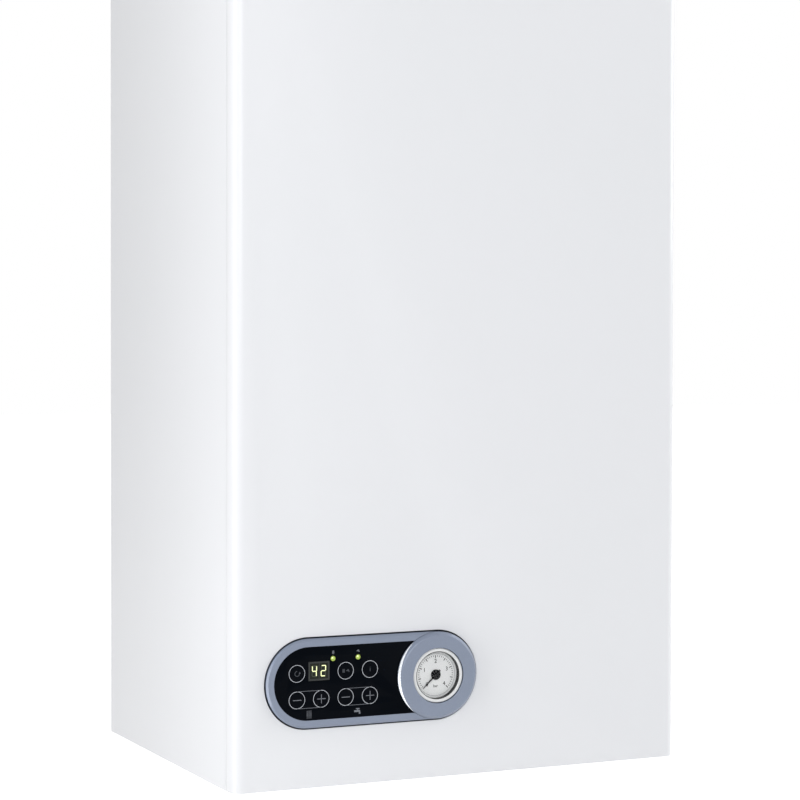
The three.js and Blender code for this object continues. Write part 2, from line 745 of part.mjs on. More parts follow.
// A pipe through the given places, with its corners rounded
function pipe(places, radius, bend) {
  const route = new THREE.CurvePath();
  let last = places[0];
  for (let i = 1; i < places.length - 1; i += 1) {
    const corner = places[i];
    const before = corner.clone().add(places[i - 1].clone().sub(corner).setLength(bend));
    const after = corner.clone().add(places[i + 1].clone().sub(corner).setLength(bend));
    route.add(new THREE.LineCurve3(last, before));
    route.add(new THREE.QuadraticBezierCurve3(before, corner, after));
    last = after;
  }
  route.add(new THREE.LineCurve3(last, places[places.length - 1]));
  const section = new THREE.Shape();
  for (let i = 0; i < pipeSides; i += 1) {
    const angle = tau * i / pipeSides;
    if (i === 0) section.moveTo(radius, 0);
    else section.lineTo(radius * Math.cos(angle), radius * Math.sin(angle));
  }
  const steps = Math.ceil(route.getLength() / pipeStep);
  return solidOf(new THREE.ExtrudeGeometry(section, { steps, extrudePath: route, bevelEnabled: false }));
}

// The U-shaped fold of the front cover's edges, seen from above, set in by a wall's thickness
function coverPlan(inset, backOut) {
  const half = halfWidth - inset;
  const front = -(casingDepth - inset);
  const radius = coverCorner - inset;
  const shape = new THREE.Shape();
  shape.moveTo(half, -backOut);
  shape.lineTo(-half, -backOut);
  shape.absarc(-half + radius, front + radius, radius, Math.PI, 3 * Math.PI / 2, false);
  shape.absarc(half - radius, front + radius, radius, 3 * Math.PI / 2, tau, false);
  shape.closePath();
  return shape;
}

function frontCover() {
  const backOut = casingDepth - coverWrap;
  const shell = cut(
    planOutline(coverPlan(0, backOut), 0, casingHeight),
    planOutline(coverPlan(sheet, backOut - overrun), sheet, casingHeight - sheet));
  const lips = [-1, 1].map((side) => block(side * (halfWidth - coverLip), side * (halfWidth - sheet / 2),
    backOut, backOut + sheet, sheet / 2, casingHeight - sheet / 2));
  const hole = frontOutline(
    stadium(panelLeft - panelGap, panelRight + panelGap,
      panelCentreHeight - panelRadius - panelGap, panelCentreHeight + panelRadius + panelGap),
    casingDepth - sheet - overrun, casingDepth + overrun);
  return piece('front_cover', cut(join(shell, ...lips), hole), whitePaint);
}

function sidePanel(name, side) {
  const outer = side * halfWidth;
  const inner = side * (halfWidth - sheet);
  const wall = block(inner, outer, panelWallGap, panelFrontOut, 0, casingHeight);
  const frontFold = block(side * (halfWidth - panelFlange), outer,
    panelFrontOut - sheet, panelFrontOut, 0, casingHeight - sheet - fit);
  const lowFold = block(side * (halfWidth - panelFlange), outer, frameFlange, panelFrontOut, 0, sheet);
  return piece(name, join(wall, frontFold, lowFold), whitePaint);
}

function backFrame() {
  const top = casingHeight - sheet - fit;
  const plate = block(-insideHalf, insideHalf, frameBackOut, frameFrontOut, frameFoot, top);
  const flanges = [-1, 1].map((side) => block(side * (insideHalf - frameThickness), side * insideHalf,
    frameBackOut, frameBackOut + frameFlange, frameFoot, top));
  const slots = [-1, 1].map((side) => {
    const middle = side * hookSpacing / 2;
    const half = hookWidth / 2 + slotMargin;
    const high = bracketHeight + bracketThickness + fit;
    return block(middle - half, middle + half, frameBackOut - overrun, frameFrontOut + overrun,
      high - slotDrop - bracketThickness, high);
  });
  return piece('back_frame', cut(join(plate, ...flanges), ...slots), galvanised);
}

function wallBracket() {
  const half = bracketWidth / 2;
  const strip = block(-half, half, 0, bracketThickness,
    bracketHeight - bracketTall / 2, bracketHeight + bracketTall / 2);
  const hooks = [-1, 1].map((side) => {
    const middle = side * hookSpacing / 2;
    const left = middle - hookWidth / 2;
    const right = middle + hookWidth / 2;
    return join(
      block(left, right, 0, hookReach, bracketHeight, bracketHeight + bracketThickness),
      block(left, right, hookReach - bracketThickness, hookReach, bracketHeight, bracketHeight + hookRise));
  });
  return piece('wall_bracket', join(strip, ...hooks), galvanised);
}

// A flat plate with folded edges between the side panels; the folds point up or down
function foldedPlate(low, foldLow, foldHigh, reach) {
  const half = insideHalf;
  const foldHalf = half - plateEdgeInset;
  const front = reach - plateEdgeInset;
  const plate = block(-half, half, frameFrontOut + fit + frameFlange, reach, low, low + sheet);
  const back = block(-foldHalf, foldHalf, plateBack, frameFrontOut + fit + frameFlange + sheet, low,
    low + sheet);
  const folds = [
    block(-foldHalf, foldHalf, plateBack, plateBack + sheet, foldLow, foldHigh),
    block(-foldHalf, foldHalf, front - sheet, front, foldLow, foldHigh),
    block(-foldHalf, sheet - foldHalf, plateBack, front, foldLow, foldHigh),
    block(foldHalf - sheet, foldHalf, plateBack, front, foldLow, foldHigh),
  ];
  return join(plate, back, ...folds);
}

function topPlate() {
  const low = casingHeight - sheet;
  const plate = foldedPlate(low, low - plateEdge + sheet, casingHeight, panelFrontOut);
  const hole = rodUp(0, collarOut, low - plateEdge, casingHeight + overrun, collarOuter + collarHoleGap);
  return piece('top_plate', cut(plate, hole), whitePaint);
}

function bottomPlate() {
  const plate = foldedPlate(floorHeight, floorHeight, floorHeight + plateEdge, floorReach);
  const tails = [[flowX, bigTail], [hotX, smallTail], [0, bigTail], [coldX, smallTail], [returnX, bigTail]];
  const holes = tails.map(([x, radius]) => rodUp(x, tailOut,
    floorHeight - overrun, floorTop + overrun, radius + tailHoleGap));
  const fillingHole = rodUp(fillingX, tailOut, floorHeight - overrun, floorTop + overrun,
    fillingStem + tailHoleGap, smallSides);
  const ears = [-1, 1].map((side) => {
    const inner = side * (boxHalfWidth + earGap);
    const outer = inner + side * earThickness;
    return join(
      block(inner, outer, hingeOut - earHalfReach * 2, hingeOut + earHalfReach, floorHeight, hingeHeight),
      rodAcross(hingeOut, hingeHeight, inner, outer, earHalfReach, smallSides),
      rodAcross(hingeOut, hingeHeight, side * (boxHalfWidth - boxWall * 2), outer, hingePin, smallSides));
  });
  return piece('bottom_plate', join(cut(plate, ...holes, fillingHole), ...ears), galvanised);
}

function bezel() {
  const low = panelCentreHeight - panelRadius;
  const high = panelCentreHeight + panelRadius;
  const backOut = boxFrontOut + fit;
  const inner = (inset) => stadium(panelLeft + inset, panelRight - inset, low + inset, high - inset);
  const whole = frontOutline(inner(0), backOut, bezelFrontOut);
  const behind = frontOutline(inner(bezelWall), backOut - overrun, bezelPlateOut);
  const front = frontOutline(inner(bezelBand), bezelPlateFront, bezelFrontOut + overrun);
  const discSeat = rodOut(gaugeX, gaugeHeight, bezelPlateFront, bezelFrontOut + overrun,
    panelRadius + overrun, roundSides * 2);
  const holes = buttonPlaces().map(([, x, z]) => rodOut(x, z, bezelPlateOut - overrun,
    bezelPlateFront + overrun, buttonHole, smallSides));
  const lamps = lampPlaces.map((x) => rodOut(x, lampHeight, bezelPlateOut - overrun,
    bezelPlateFront + overrun, lampHole, smallSides));
  const display = block(displayLeft - fit, displayLeft + displayWidth + fit,
    bezelPlateOut - overrun, bezelPlateFront + overrun, displayLow - fit, displayLow + displayTall + fit);
  const gaugeHole = rodOut(gaugeX, gaugeHeight, bezelPlateOut - overrun, bezelPlateFront + overrun,
    gaugeRadius + fit, roundSides);
  return piece('bezel', cut(whole, behind, front, discSeat, ...holes, ...lamps, display, gaugeHole),
    silverPlastic);
}

// The seven buttons: name, x and height
function buttonPlaces() {
  const [first, second, third, fourth] = buttonColumns;
  return [
    ['button_reset', first, buttonUpperRow],
    ['button_season', third, buttonUpperRow],
    ['button_info', fourth, buttonUpperRow],
    ['button_heating_minus', first, buttonLowerRow],
    ['button_heating_plus', second, buttonLowerRow],
    ['button_water_minus', third, buttonLowerRow],
    ['button_water_plus', fourth, buttonLowerRow],
  ];
}

function fasciaWindow() {
  const inset = bezelBand + fit;
  const plate = frontOutline(
    stadium(panelLeft + inset, panelRight - inset,
      panelCentreHeight - panelRadius + inset, panelCentreHeight + panelRadius - inset),
    windowBackOut, windowFrontOut);
  const through = [windowBackOut - overrun, windowFrontOut + overrun];
  const holes = buttonPlaces().map(([, x, z]) => rodOut(x, z, ...through, buttonHole, roundSides));
  const lamps = lampPlaces.map((x) => rodOut(x, lampHeight, ...through, lampHole, smallSides));
  const display = block(displayLeft - fit, displayLeft + displayWidth + fit, ...through,
    displayLow - fit, displayLow + displayTall + fit);
  const disc = rodOut(gaugeX, gaugeHeight, ...through, discRadius + fit, roundSides * 2);
  return piece('window', cut(plate, disc, display, ...holes, ...lamps), blackGloss);
}

function button(name, x, z) {
  const cap = turnedOut([
    [0, buttonFrontOut - buttonCap], [buttonRadius, buttonFrontOut - buttonCap],
    [buttonRadius, buttonFrontOut - buttonDome], [buttonRadius - buttonDome, buttonFrontOut],
    [0, buttonFrontOut],
  ], x, z, roundSides);
  const stem = rodOut(x, z, buttonBackOut, buttonFrontOut - buttonCap + overrun, buttonStem, smallSides);
  return piece(name, join(cap, stem), blackGloss);
}

function display() {
  const right = displayLeft + displayWidth;
  const high = displayLow + displayTall;
  const body = block(displayLeft, right, boardFrontOut + fit, displayFrontOut, displayLow, high);
  const pane = block(displayLeft + displayFrame, right - displayFrame,
    displayFrontOut - displayRecess, displayFrontOut + overrun, displayLow + displayFrame,
    high - displayFrame);
  return piece('display', cut(body, pane), greyPlastic);
}

function lamp(name, x) {
  const profile = [[0, boardFrontOut + fit], [lampRadius, boardFrontOut + fit],
    [lampRadius, lampFrontOut - lampRadius / 2],
    [lampRadius * Math.SQRT1_2, lampFrontOut - lampRadius / 6], [0, lampFrontOut]];
  return piece(name, turnedOut(profile, x, lampHeight, smallSides), greenLamp);
}

function gaugeRing() {
  const front = bezelFrontOut + discRise;
  const ring = turnedOut([
    [gaugeRadius + fit, windowBackOut], [discRadius, windowBackOut], [discRadius, bezelFrontOut],
    [discRadius - discRise, front], [gaugeRadius + fit, front], [gaugeRadius + fit, windowBackOut],
  ], gaugeX, gaugeHeight, roundSides * 2);
  return piece('gauge_ring', ring, silverPlastic);
}

function gaugeCase() {
  const inner = gaugeRadius - gaugeWall;
  const profile = [
    [0, stemEndOut], [stemRadius, stemEndOut], [stemRadius, gaugeBackOut], [gaugeRadius, gaugeBackOut],
    [gaugeRadius, gaugeFrontOut], [lensRadius - gaugeWall, gaugeFrontOut - gaugeWall],
    [lensRadius - gaugeWall, lensOut + lensThickness + fit], [inner, lensOut + lensThickness + fit],
    [inner, gaugeBackOut + gaugeFloor], [0, gaugeBackOut + gaugeFloor],
  ];
  return piece('gauge_case', turnedOut(profile, gaugeX, gaugeHeight, roundSides), whitePlastic);
}

function gaugeDial() {
  const back = gaugeBackOut + gaugeFloor + fit;
  const disc = rodOut(gaugeX, gaugeHeight, dialOut, dialOut + dialThickness, dialRadius + gaugeWall);
  const movement = rodOut(gaugeX, gaugeHeight, back, dialOut + dialThickness / 2, dialRadius / 2, smallSides);
  const pinHole = rodOut(gaugeX, gaugeHeight, dialOut - overrun, dialOut + dialThickness + overrun,
    needlePinHole, smallSides);
  return piece('gauge_dial', cut(join(disc, movement), pinHole), whitePlastic);
}

function gaugeNeedle() {
  const along = needleZero * degree;
  const point = (distance, side) => [
    gaugeX + distance * Math.cos(along) - side * Math.sin(along),
    gaugeHeight + distance * Math.sin(along) + side * Math.cos(along),
  ];
  const pointer = frontOutline(polygon([
    point(-needleTail, needleWidth / 2), point(-needleTail, -needleWidth / 2),
    point(needleLength, -needleTip / 2), point(needleLength, needleTip / 2),
  ]), needleOut, needleOut + needleThickness);
  const hub = rodOut(gaugeX, gaugeHeight, needleOut - needleHubRise / 2,
    needleOut + needleThickness + needleHubRise / 2, needleHub, roundSides);
  const pin = rodOut(gaugeX, gaugeHeight, dialOut - dialThickness, needleOut, needlePin, smallSides);
  return piece('gauge_needle', join(pointer, hub, pin), blackPlastic);
}

function gaugeLens() {
  const disc = rodOut(gaugeX, gaugeHeight, lensOut, lensOut + lensThickness, lensRadius);
  return piece('gauge_lens', disc, clearGlass);
}

function gaugeCapillary() {
  const middleOut = (stemEndOut + plateFrontOut) / 2;
  const crossHeight = (plateHigh + valveLow) / 2;
  const crossOut = tailOut + bigTail + collarNutGrowth + gasPipe;
  const route = [
    at(gaugeX, stemEndOut - fit, gaugeHeight), at(gaugeX, middleOut, gaugeHeight),
    at(gaugeX, middleOut, crossHeight), at(gaugeX, crossOut, crossHeight),
    at(coldX, crossOut, crossHeight), at(coldX, tailOut, crossHeight),
    at(coldX, tailOut, groupHeight + groupRadius + fit),
  ];
  return piece('gauge_capillary', pipe(route, nippleRadius / 2, vesselPipeRadius * 2), copper);
}

function controlBox() {
  const whole = sideOutline(roundedRectangle(boxBackOut, boxFrontOut, boxLow, boxHigh, boxCorner),
    -boxHalfWidth, boxHalfWidth);
  const hollow = block(boxWall - boxHalfWidth, boxHalfWidth - boxWall, boxBackOut - overrun,
    boxFrontOut - boxWall, boxLow + boxWall, boxHigh - boxWall);
  const mouth = bezelWall + fit;
  const opening = frontOutline(
    stadium(panelLeft + mouth, panelRight - mouth,
      panelCentreHeight - panelRadius + mouth, panelCentreHeight + panelRadius - mouth),
    boxFrontOut - boxWall - overrun, boxFrontOut + overrun);
  const pins = [-1, 1].map((side) => rodAcross(hingeOut, hingeHeight,
    side * (boxHalfWidth - boxWall - overrun), side * (boxHalfWidth + overrun), hingePin + fit, smallSides));
  const posts = postPlaces().map(([x, z]) => rodOut(x, z, boardFrontOut + fit,
    boxFrontOut - boxWall / 2, boxPostRadius, smallSides));
  return piece('control_box', join(cut(whole, hollow, opening, ...pins), ...posts), greyPlastic);
}

// Four posts that carry the circuit board
function postPlaces() {
  const x = boxHalfWidth - boxPostInset;
  const low = boxLow + boxPostInset;
  const high = boxHigh - boxPostInset;
  return [[-x, high], [x, high], [x, low], [boxPostInset, low]];
}

function controlRearCover() {
  const gap = boxWall + fit;
  const plate = block(gap - boxHalfWidth, boxHalfWidth - gap, boxBackOut, rearCoverOut,
    boxLow + gap, boxHigh - gap);
  const stemHole = rodOut(gaugeX, gaugeHeight, boxBackOut - overrun, rearCoverOut + overrun,
    stemRadius + fit, smallSides);
  const cableSlot = block(boxHalfWidth / 2 - rearSlotWidth / 2, boxHalfWidth / 2 + rearSlotWidth / 2,
    boxBackOut - overrun, rearCoverOut + overrun, boxHigh - boxPostInset,
    boxHigh - boxPostInset + rearSlotTall);
  return piece('control_rear_cover', cut(plate, stemHole, cableSlot), greyPlastic);
}

function controlBoard() {
  const left = boxWall + boardInset - boxHalfWidth;
  const right = -left;
  const low = boxLow + boxWall + boardInset;
  const high = boxHigh - boxWall - boardInset;
  const backOut = boardFrontOut - boardThickness;
  const board = block(left, right, backOut, boardFrontOut, low, high);
  const hole = rodOut(gaugeX, gaugeHeight, backOut - overrun, boardFrontOut + overrun,
    gaugeRadius + boardGaugeGap);
  const switches = buttonPlaces().map(([, x, z]) => rodOut(x, z, boardFrontOut - boardThickness / 2,
    switchFrontOut, switchRadius, smallSides));
  const middle = (low + high) / 2;
  const transformer = block(right - boardInset - transformerWidth, right - boardInset,
    backOut - transformerDeep, backOut + boardThickness / 2,
    middle - transformerTall / 2, middle + transformerTall / 2);
  const relays = Array.from({ length: relayCount }, (_, i) => {
    const x = left + boardInset + i * relayPitch;
    return block(x, x + relayWidth, backOut - relayDeep, backOut + boardThickness / 2,
      high - boardInset - relayTall, high - boardInset);
  });
  const connector = block(boxHalfWidth / 2 - connectorWidth / 2, boxHalfWidth / 2 + connectorWidth / 2,
    backOut - connectorDeep, backOut + boardThickness / 2, high - boardInset / 2 - connectorTall,
    high - boardInset / 2);
  const solid = join(cut(board, hole), ...switches, transformer, ...relays, connector);
  return piece('control_board', solid, circuitGreen);
}

function airBox() {
  const outer = block(-airHalfWidth, airHalfWidth, airBackOut, airFrontOut, airLow, airHigh);
  const inner = block(sheet - airHalfWidth, airHalfWidth - sheet, airBackOut + sheet,
    airFrontOut + overrun, airLow + sheet, airHigh - sheet);
  const ears = [-1, 1].flatMap((side) => [airLow, airHigh - airEarTall].map((z) => block(
    side * (airHalfWidth - sheet), side * airHalfWidth, plateBack, airBackOut + sheet, z, z + airEarTall)));
  const pipeHoles = [[-mainPipeX, flowPipeOut], [mainPipeX, mainPipeOut]].map(([x, out]) => rodUp(x, out,
    airLow - overrun, airLow + sheet + overrun, mainPipe + grommetGap, smallSides));
  const gasHole = rodUp(0, riserOut, airLow - overrun, airLow + sheet + overrun, riserRadius + grommetGap,
    smallSides);
  const flueHole = rodUp(0, collarOut, airHigh - sheet - overrun, airHigh + overrun,
    collarOuter + collarHoleGap);
  return piece('air_box', join(cut(outer, inner, ...pipeHoles, gasHole, flueHole), ...ears), galvanised);
}

function airBoxCover() {
  const half = airHalfWidth + coverLap + sheet;
  const low = airLow - coverLap - sheet;
  const high = airHigh + coverLap + sheet;
  const front = airFrontOut + fit + sheet;
  const back = airFrontOut - coverFold;
  const shell = cut(
    block(-half, half, back, front, low, high),
    block(sheet - half, half - sheet, back - overrun, front - sheet, low + sheet, high - sheet));
  const rib = (inset) => block(inset - half, half - inset, front - sheet / 2, front + ribDepth,
    low + inset, high - inset);
  const ribs = cut(rib(ribInset), rib(ribInset + ribWidth));
  const hole = rodOut(0, sightHeight, back, front + ribDepth + overrun, sightHole);
  return piece('air_box_cover', cut(join(shell, ribs), hole), galvanised);
}

function sightGlass() {
  const back = airFrontOut - sightThickness;
  const flange = rodOut(0, sightHeight, back, airFrontOut, sightRadius);
  const lens = rodOut(0, sightHeight, airFrontOut - sightThickness / 2, airFrontOut + fit + sheet,
    sightHole - fit);
  return piece('sight_glass', join(flange, lens), clearGlass);
}

function combustionChamber() {
  const outer = block(-chamberHalfWidth, chamberHalfWidth, chamberBackOut, chamberFrontOut, chamberLow,
    chamberHigh);
  const inner = block(sheet - chamberHalfWidth, chamberHalfWidth - sheet, chamberBackOut + sheet,
    chamberFrontOut - sheet, chamberLow + sheet, chamberHigh + overrun);
  const mouth = block(chamberLip - chamberHalfWidth, chamberHalfWidth - chamberLip,
    chamberBackOut + chamberLip,
    chamberFrontOut - chamberLip, chamberLow - overrun, chamberLow + sheet + overrun);
  const legs = [chamberLow, chamberHigh - chamberLegTall].map((z) => block(
    -chamberHalfWidth / 2, chamberHalfWidth / 2, airBackOut + sheet + fit, chamberBackOut + sheet / 2,
    z, z + chamberLegTall));
  const window = electrodeOpening(chamberFrontOut - sheet - overrun, chamberFrontOut + overrun);
  return piece('combustion_chamber', cut(join(cut(outer, inner, mouth), ...legs), window), aluminised);
}

function electrodeOpening(out0, out1) {
  return block(electrodePlace - electrodeWindow / 2, electrodePlace + electrodeWindow / 2, out0, out1,
    electrodeHeight - electrodeWindowTall / 2, electrodeHeight + electrodeWindowTall / 2);
}

function chamberLining() {
  const gap = sheet + fit;
  const wall = gap + liningThickness;
  const low = chamberLow + sheet + fit;
  const high = chamberHigh - fit;
  const outer = block(gap - chamberHalfWidth, chamberHalfWidth - gap, chamberBackOut + gap,
    chamberFrontOut - gap, low, high);
  const inner = block(wall - chamberHalfWidth, chamberHalfWidth - wall, chamberBackOut + wall,
    chamberFrontOut - wall, low - overrun, high + overrun);
  const window = electrodeOpening(chamberFrontOut - wall - overrun, chamberFrontOut);
  return piece('chamber_lining', cut(outer, inner, window), ceramicFibre);
}

function burner() {
  const tray = block(-burnerHalfWidth, burnerHalfWidth, burnerBackOut, burnerFrontOut, burnerLow, chamberLow);
  const pitch = 2 * burnerHalfWidth / burnerBlades;
  const blades = Array.from({ length: burnerBlades }, (_, i) => {
    const middle = -burnerHalfWidth + (i + 1 / 2) * pitch;
    const half = pitch * burnerBladeShare / 2;
    const profile = polygon([
      [middle - half, chamberLow - overrun], [middle + half, chamberLow - overrun],
      [middle + half, burnerHigh - half], [middle + half / 2, burnerHigh],
      [middle - half / 2, burnerHigh], [middle - half, burnerHigh - half],
    ]);
    return frontOutline(profile, burnerBackOut, burnerFrontOut);
  });
  const throats = Array.from({ length: burnerBlades }, (_, i) => rodOut(
    -burnerHalfWidth + (i + 1 / 2) * pitch, manifoldHeight,
    burnerFrontOut - liningThickness, burnerFrontOut + overrun, injectorRadius * 3 / 2, hexSides));
  const ears = [-1, 1].map((side) => block(side * (burnerHalfWidth - overrun),
    side * (chamberHalfWidth - fit),
    burnerBackOut, burnerFrontOut, chamberLow - fit - burnerEar, chamberLow - fit));
  return piece('burner', join(cut(tray, ...throats), ...blades, ...ears), stainless);
}

function gasManifold() {
  const bar = rodAcross(manifoldOut, manifoldHeight, -burnerHalfWidth, burnerHalfWidth, manifoldRadius,
    smallSides);
  const pitch = 2 * burnerHalfWidth / burnerBlades;
  const injectors = Array.from({ length: burnerBlades }, (_, i) => rodOut(
    -burnerHalfWidth + (i + 1 / 2) * pitch, manifoldHeight, burnerFrontOut + fit, manifoldOut,
    injectorRadius, hexSides));
  const riser = pipe([
    at(0, riserOut, valveHigh + fit), at(0, riserOut, riserRunHeight),
    at(0, manifoldOut, riserRunHeight), at(0, manifoldOut, manifoldHeight),
  ], riserRadius, riserRadius * 3 / 2);
  return piece('gas_manifold', join(bar, riser, ...injectors), aluminised);
}

function electrodeBlock() {
  const plateOut = chamberFrontOut + fit;
  const plate = block(electrodePlace - electrodePlateWidth / 2, electrodePlace + electrodePlateWidth / 2,
    plateOut, plateOut + electrodePlateThickness,
    electrodeHeight - electrodePlateTall / 2, electrodeHeight + electrodePlateTall / 2);
  const rods = [-1, 1].map((side) => {
    const x = electrodePlace + side * electrodePitch / 2;
    const tipOut = chamberFrontOut - liningThickness * 2;
    return join(
      rodOut(x, electrodeHeight, tipOut, plateOut + electrodePlateThickness * 3, electrodeRadius, smallSides),
      rodUp(x, tipOut + electrodeRadius, burnerHigh + electrodeRadius, electrodeHeight, electrodeTip,
      smallSides));
  });
  return piece('electrode_block', join(plate, ...rods), whitePlastic);
}

function heatExchanger() {
  const left = -chamberHalfWidth;
  const right = chamberHalfWidth;
  const back = chamberBackOut;
  const front = chamberFrontOut;
  const low = exchangerLow + exchangerInset;
  const high = exchangerHigh - exchangerInset;
  const pitch = (right - left - 2 * exchangerEndPlate) / finCount;
  const finBack = back + exchangerInset;
  const finFront = front - exchangerInset;
  const fins = Array.from({ length: finCount }, (_, i) => {
    const x = left + exchangerEndPlate + (i + (1 - finShare) / 2) * pitch;
    return block(x, x + pitch * finShare, finBack, finFront, low, high);
  });
  const core = block(left, right, finBack + exchangerInset, finFront - exchangerInset,
    exchangerPortHeight - exchangerTubeRadius, exchangerPortHeight + exchangerTubeRadius);
  const ends = [left, right - exchangerEndPlate].map((x) => block(x, x + exchangerEndPlate, back, front,
    exchangerLow, exchangerHigh));
  const rims = [exchangerLow, exchangerHigh - exchangerEndPlate].flatMap((z) => [back,
    front - exchangerEndPlate]
    .map((out) => block(left, right, out, out + exchangerEndPlate, z, z + exchangerEndPlate)));
  const reach = exchangerTubeRadius;
  const bends = Array.from({ length: exchangerTubeCount - 1 }, (_, i) => {
    const side = i % 2 === 0 ? 1 : -1;
    const from = side * (chamberHalfWidth - exchangerEndPlate);
    const far = side * (chamberHalfWidth + reach * 2);
    return pipe([
      at(from, exchangerTubeOut(i), exchangerPortHeight), at(far, exchangerTubeOut(i), exchangerPortHeight),
      at(far, exchangerTubeOut(i + 1), exchangerPortHeight),
      at(from, exchangerTubeOut(i + 1), exchangerPortHeight),
    ], exchangerTubeRadius * 3 / 4, reach);
  });
  const ports = [[-1, flowPipeOut], [1, returnPortOut]].map(([side, out]) => rodAcross(out,
    exchangerPortHeight,
    side * (chamberHalfWidth - reach), side * (chamberHalfWidth + reach), exchangerTubeRadius, smallSides));
  return piece('heat_exchanger', join(core, ...ends, ...rims, ...fins, ...bends, ...ports), copper);
}

// The hood's side view, set in by a wall's thickness
function hoodProfile(inset) {
  const back = chamberBackOut + inset;
  const low = hoodLow - (inset > 0 ? overrun : 0);
  return polygon([
    [chamberFrontOut - inset, low], [chamberFrontOut - inset, hoodLow + hoodLip - inset],
    [hoodFrontOut - inset, hoodStep - inset], [hoodFrontOut - inset, hoodHigh - inset],
    [back, hoodHigh - inset], [back, low],
  ]);
}

function flueHood() {
  const outer = sideOutline(hoodProfile(0), -chamberHalfWidth, chamberHalfWidth);
  const inner = sideOutline(hoodProfile(sheet), sheet - chamberHalfWidth, chamberHalfWidth - sheet);
  const inlet = rodOut(fanX, fanHeight, hoodFrontOut - sheet - overrun, hoodFrontOut + overrun, fanInlet);
  return piece('flue_hood', cut(outer, inner, inlet), aluminised);
}

// The fan's scroll seen from the front, set in by a wall's thickness; the outlet points up
function scrollOutline(inset, outletHigh) {
  const start = fanTongue * degree;
  const points = [];
  for (let i = 0; i <= fanSteps; i += 1) {
    const share = i / fanSteps;
    const angle = start + (tau - start) * share;
    const radius = fanSmall + (fanLarge - fanSmall) * share - inset;
    points.push([fanX + radius * Math.cos(angle), fanHeight + radius * Math.sin(angle)]);
  }
  points.push([fanX + fanLarge - inset, outletHigh]);
  points.push([fanX + fanSmall * Math.cos(start) + inset, outletHigh]);
  return polygon(points);
}

function fanHousing() {
  const scroll = frontOutline(scrollOutline(0, fanOutletHigh), fanBackOut, fanFrontOut);
  const flange = block(-spigotRadius - fanWall, spigotRadius + fanWall, fanBackOut, fanFrontOut,
    fanOutletHigh - fanFlange, fanOutletHigh);
  const spigot = rodUp(0, collarOut, fanOutletHigh - fanFlange / 2, spigotHigh, spigotRadius - fanWall);
  const hollow = frontOutline(scrollOutline(fanWall, fanOutletHigh + fanWall),
    fanBackOut + fanWall, fanFrontOut - fanWall);
  const spigotBore = rodUp(0, collarOut, fanOutletHigh - fanFlange, spigotHigh + overrun,
    spigotRadius - 2 * fanWall);
  const inlet = rodOut(fanX, fanHeight, fanBackOut - overrun, fanBackOut + fanWall + overrun, fanInlet);
  const shaftHole = rodOut(fanX, fanHeight, fanFrontOut - fanWall - overrun, fanFrontOut + overrun,
    impellerHub + fit, smallSides);
  const nipple = rodAcross(collarOut, switchDrumHeight, fanX + fanSmall, fanX + fanLarge + nippleLength,
    nippleRadius, smallSides);
  const solid = cut(join(scroll, flange, spigot, nipple), hollow, spigotBore, inlet, shaftHole);
  return piece('fan_housing', solid, aluminised);
}

function fanImpeller() {
  const front = fanFrontOut - fanWall - impellerGap;
  const back = front - impellerDeep;
  const disc = rodOut(fanX, fanHeight, front - impellerPlate, front, impellerRadius);
  const rim = cut(
    rodOut(fanX, fanHeight, back, back + impellerPlate, impellerRadius),
    rodOut(fanX, fanHeight, back - overrun, back + impellerPlate + overrun, impellerRadius - impellerRing));
  const blades = Array.from({ length: impellerBlades }, (_, i) => {
    const angle = tau * i / impellerBlades;
    const along = [Math.cos(angle), Math.sin(angle)];
    const across = [-along[1] * bladeThickness / 2, along[0] * bladeThickness / 2];
    const inside = impellerRadius - impellerRing;
    const outside = impellerRadius - impellerPlate / 2;
    const corner = (radius, side) => [fanX + radius * along[0] + side * across[0],
      fanHeight + radius * along[1] + side * across[1]];
    return frontOutline(polygon([
      corner(inside, -1), corner(outside, -1), corner(outside, 1), corner(inside, 1),
    ]), back + impellerPlate / 2, front - impellerPlate / 2);
  });
  const hub = rodOut(fanX, fanHeight, front - impellerDeep / 2, front, impellerHub, smallSides);
  const shaft = rodOut(fanX, fanHeight, front - impellerDeep / 2, fanMotorOut + shaftIntoMotor,
    shaftRadius, smallSides);
  return piece('fan_impeller', join(disc, rim, ...blades, hub, shaft), galvanised);
}

function fanMotor() {
  const body = turnedOut([
    [0, fanMotorOut + fanMotorFootThickness], [fanMotorRadius, fanMotorOut + fanMotorFootThickness],
    [fanMotorRadius, fanMotorOut + fanMotorDeep - fanMotorFootThickness],
    [fanMotorRadius - fanMotorFootThickness, fanMotorOut + fanMotorDeep], [0, fanMotorOut + fanMotorDeep],
  ], fanX, fanHeight);
  const foot = block(fanX - fanMotorFoot, fanX + fanMotorFoot, fanMotorOut,
    fanMotorOut + fanMotorFootThickness * 2,
    fanHeight - fanMotorFootThickness * 2, fanHeight + fanMotorFootThickness * 2);
  const boss = rodOut(fanX, fanHeight, fanMotorOut, fanMotorOut + fanMotorFootThickness * 2, impellerHub * 2);
  const bore = rodOut(fanX, fanHeight, fanMotorOut - overrun, fanMotorOut + shaftIntoMotor + overrun,
    shaftBore, smallSides);
  return piece('fan_motor', cut(join(body, foot, boss), bore), darkPaint);
}

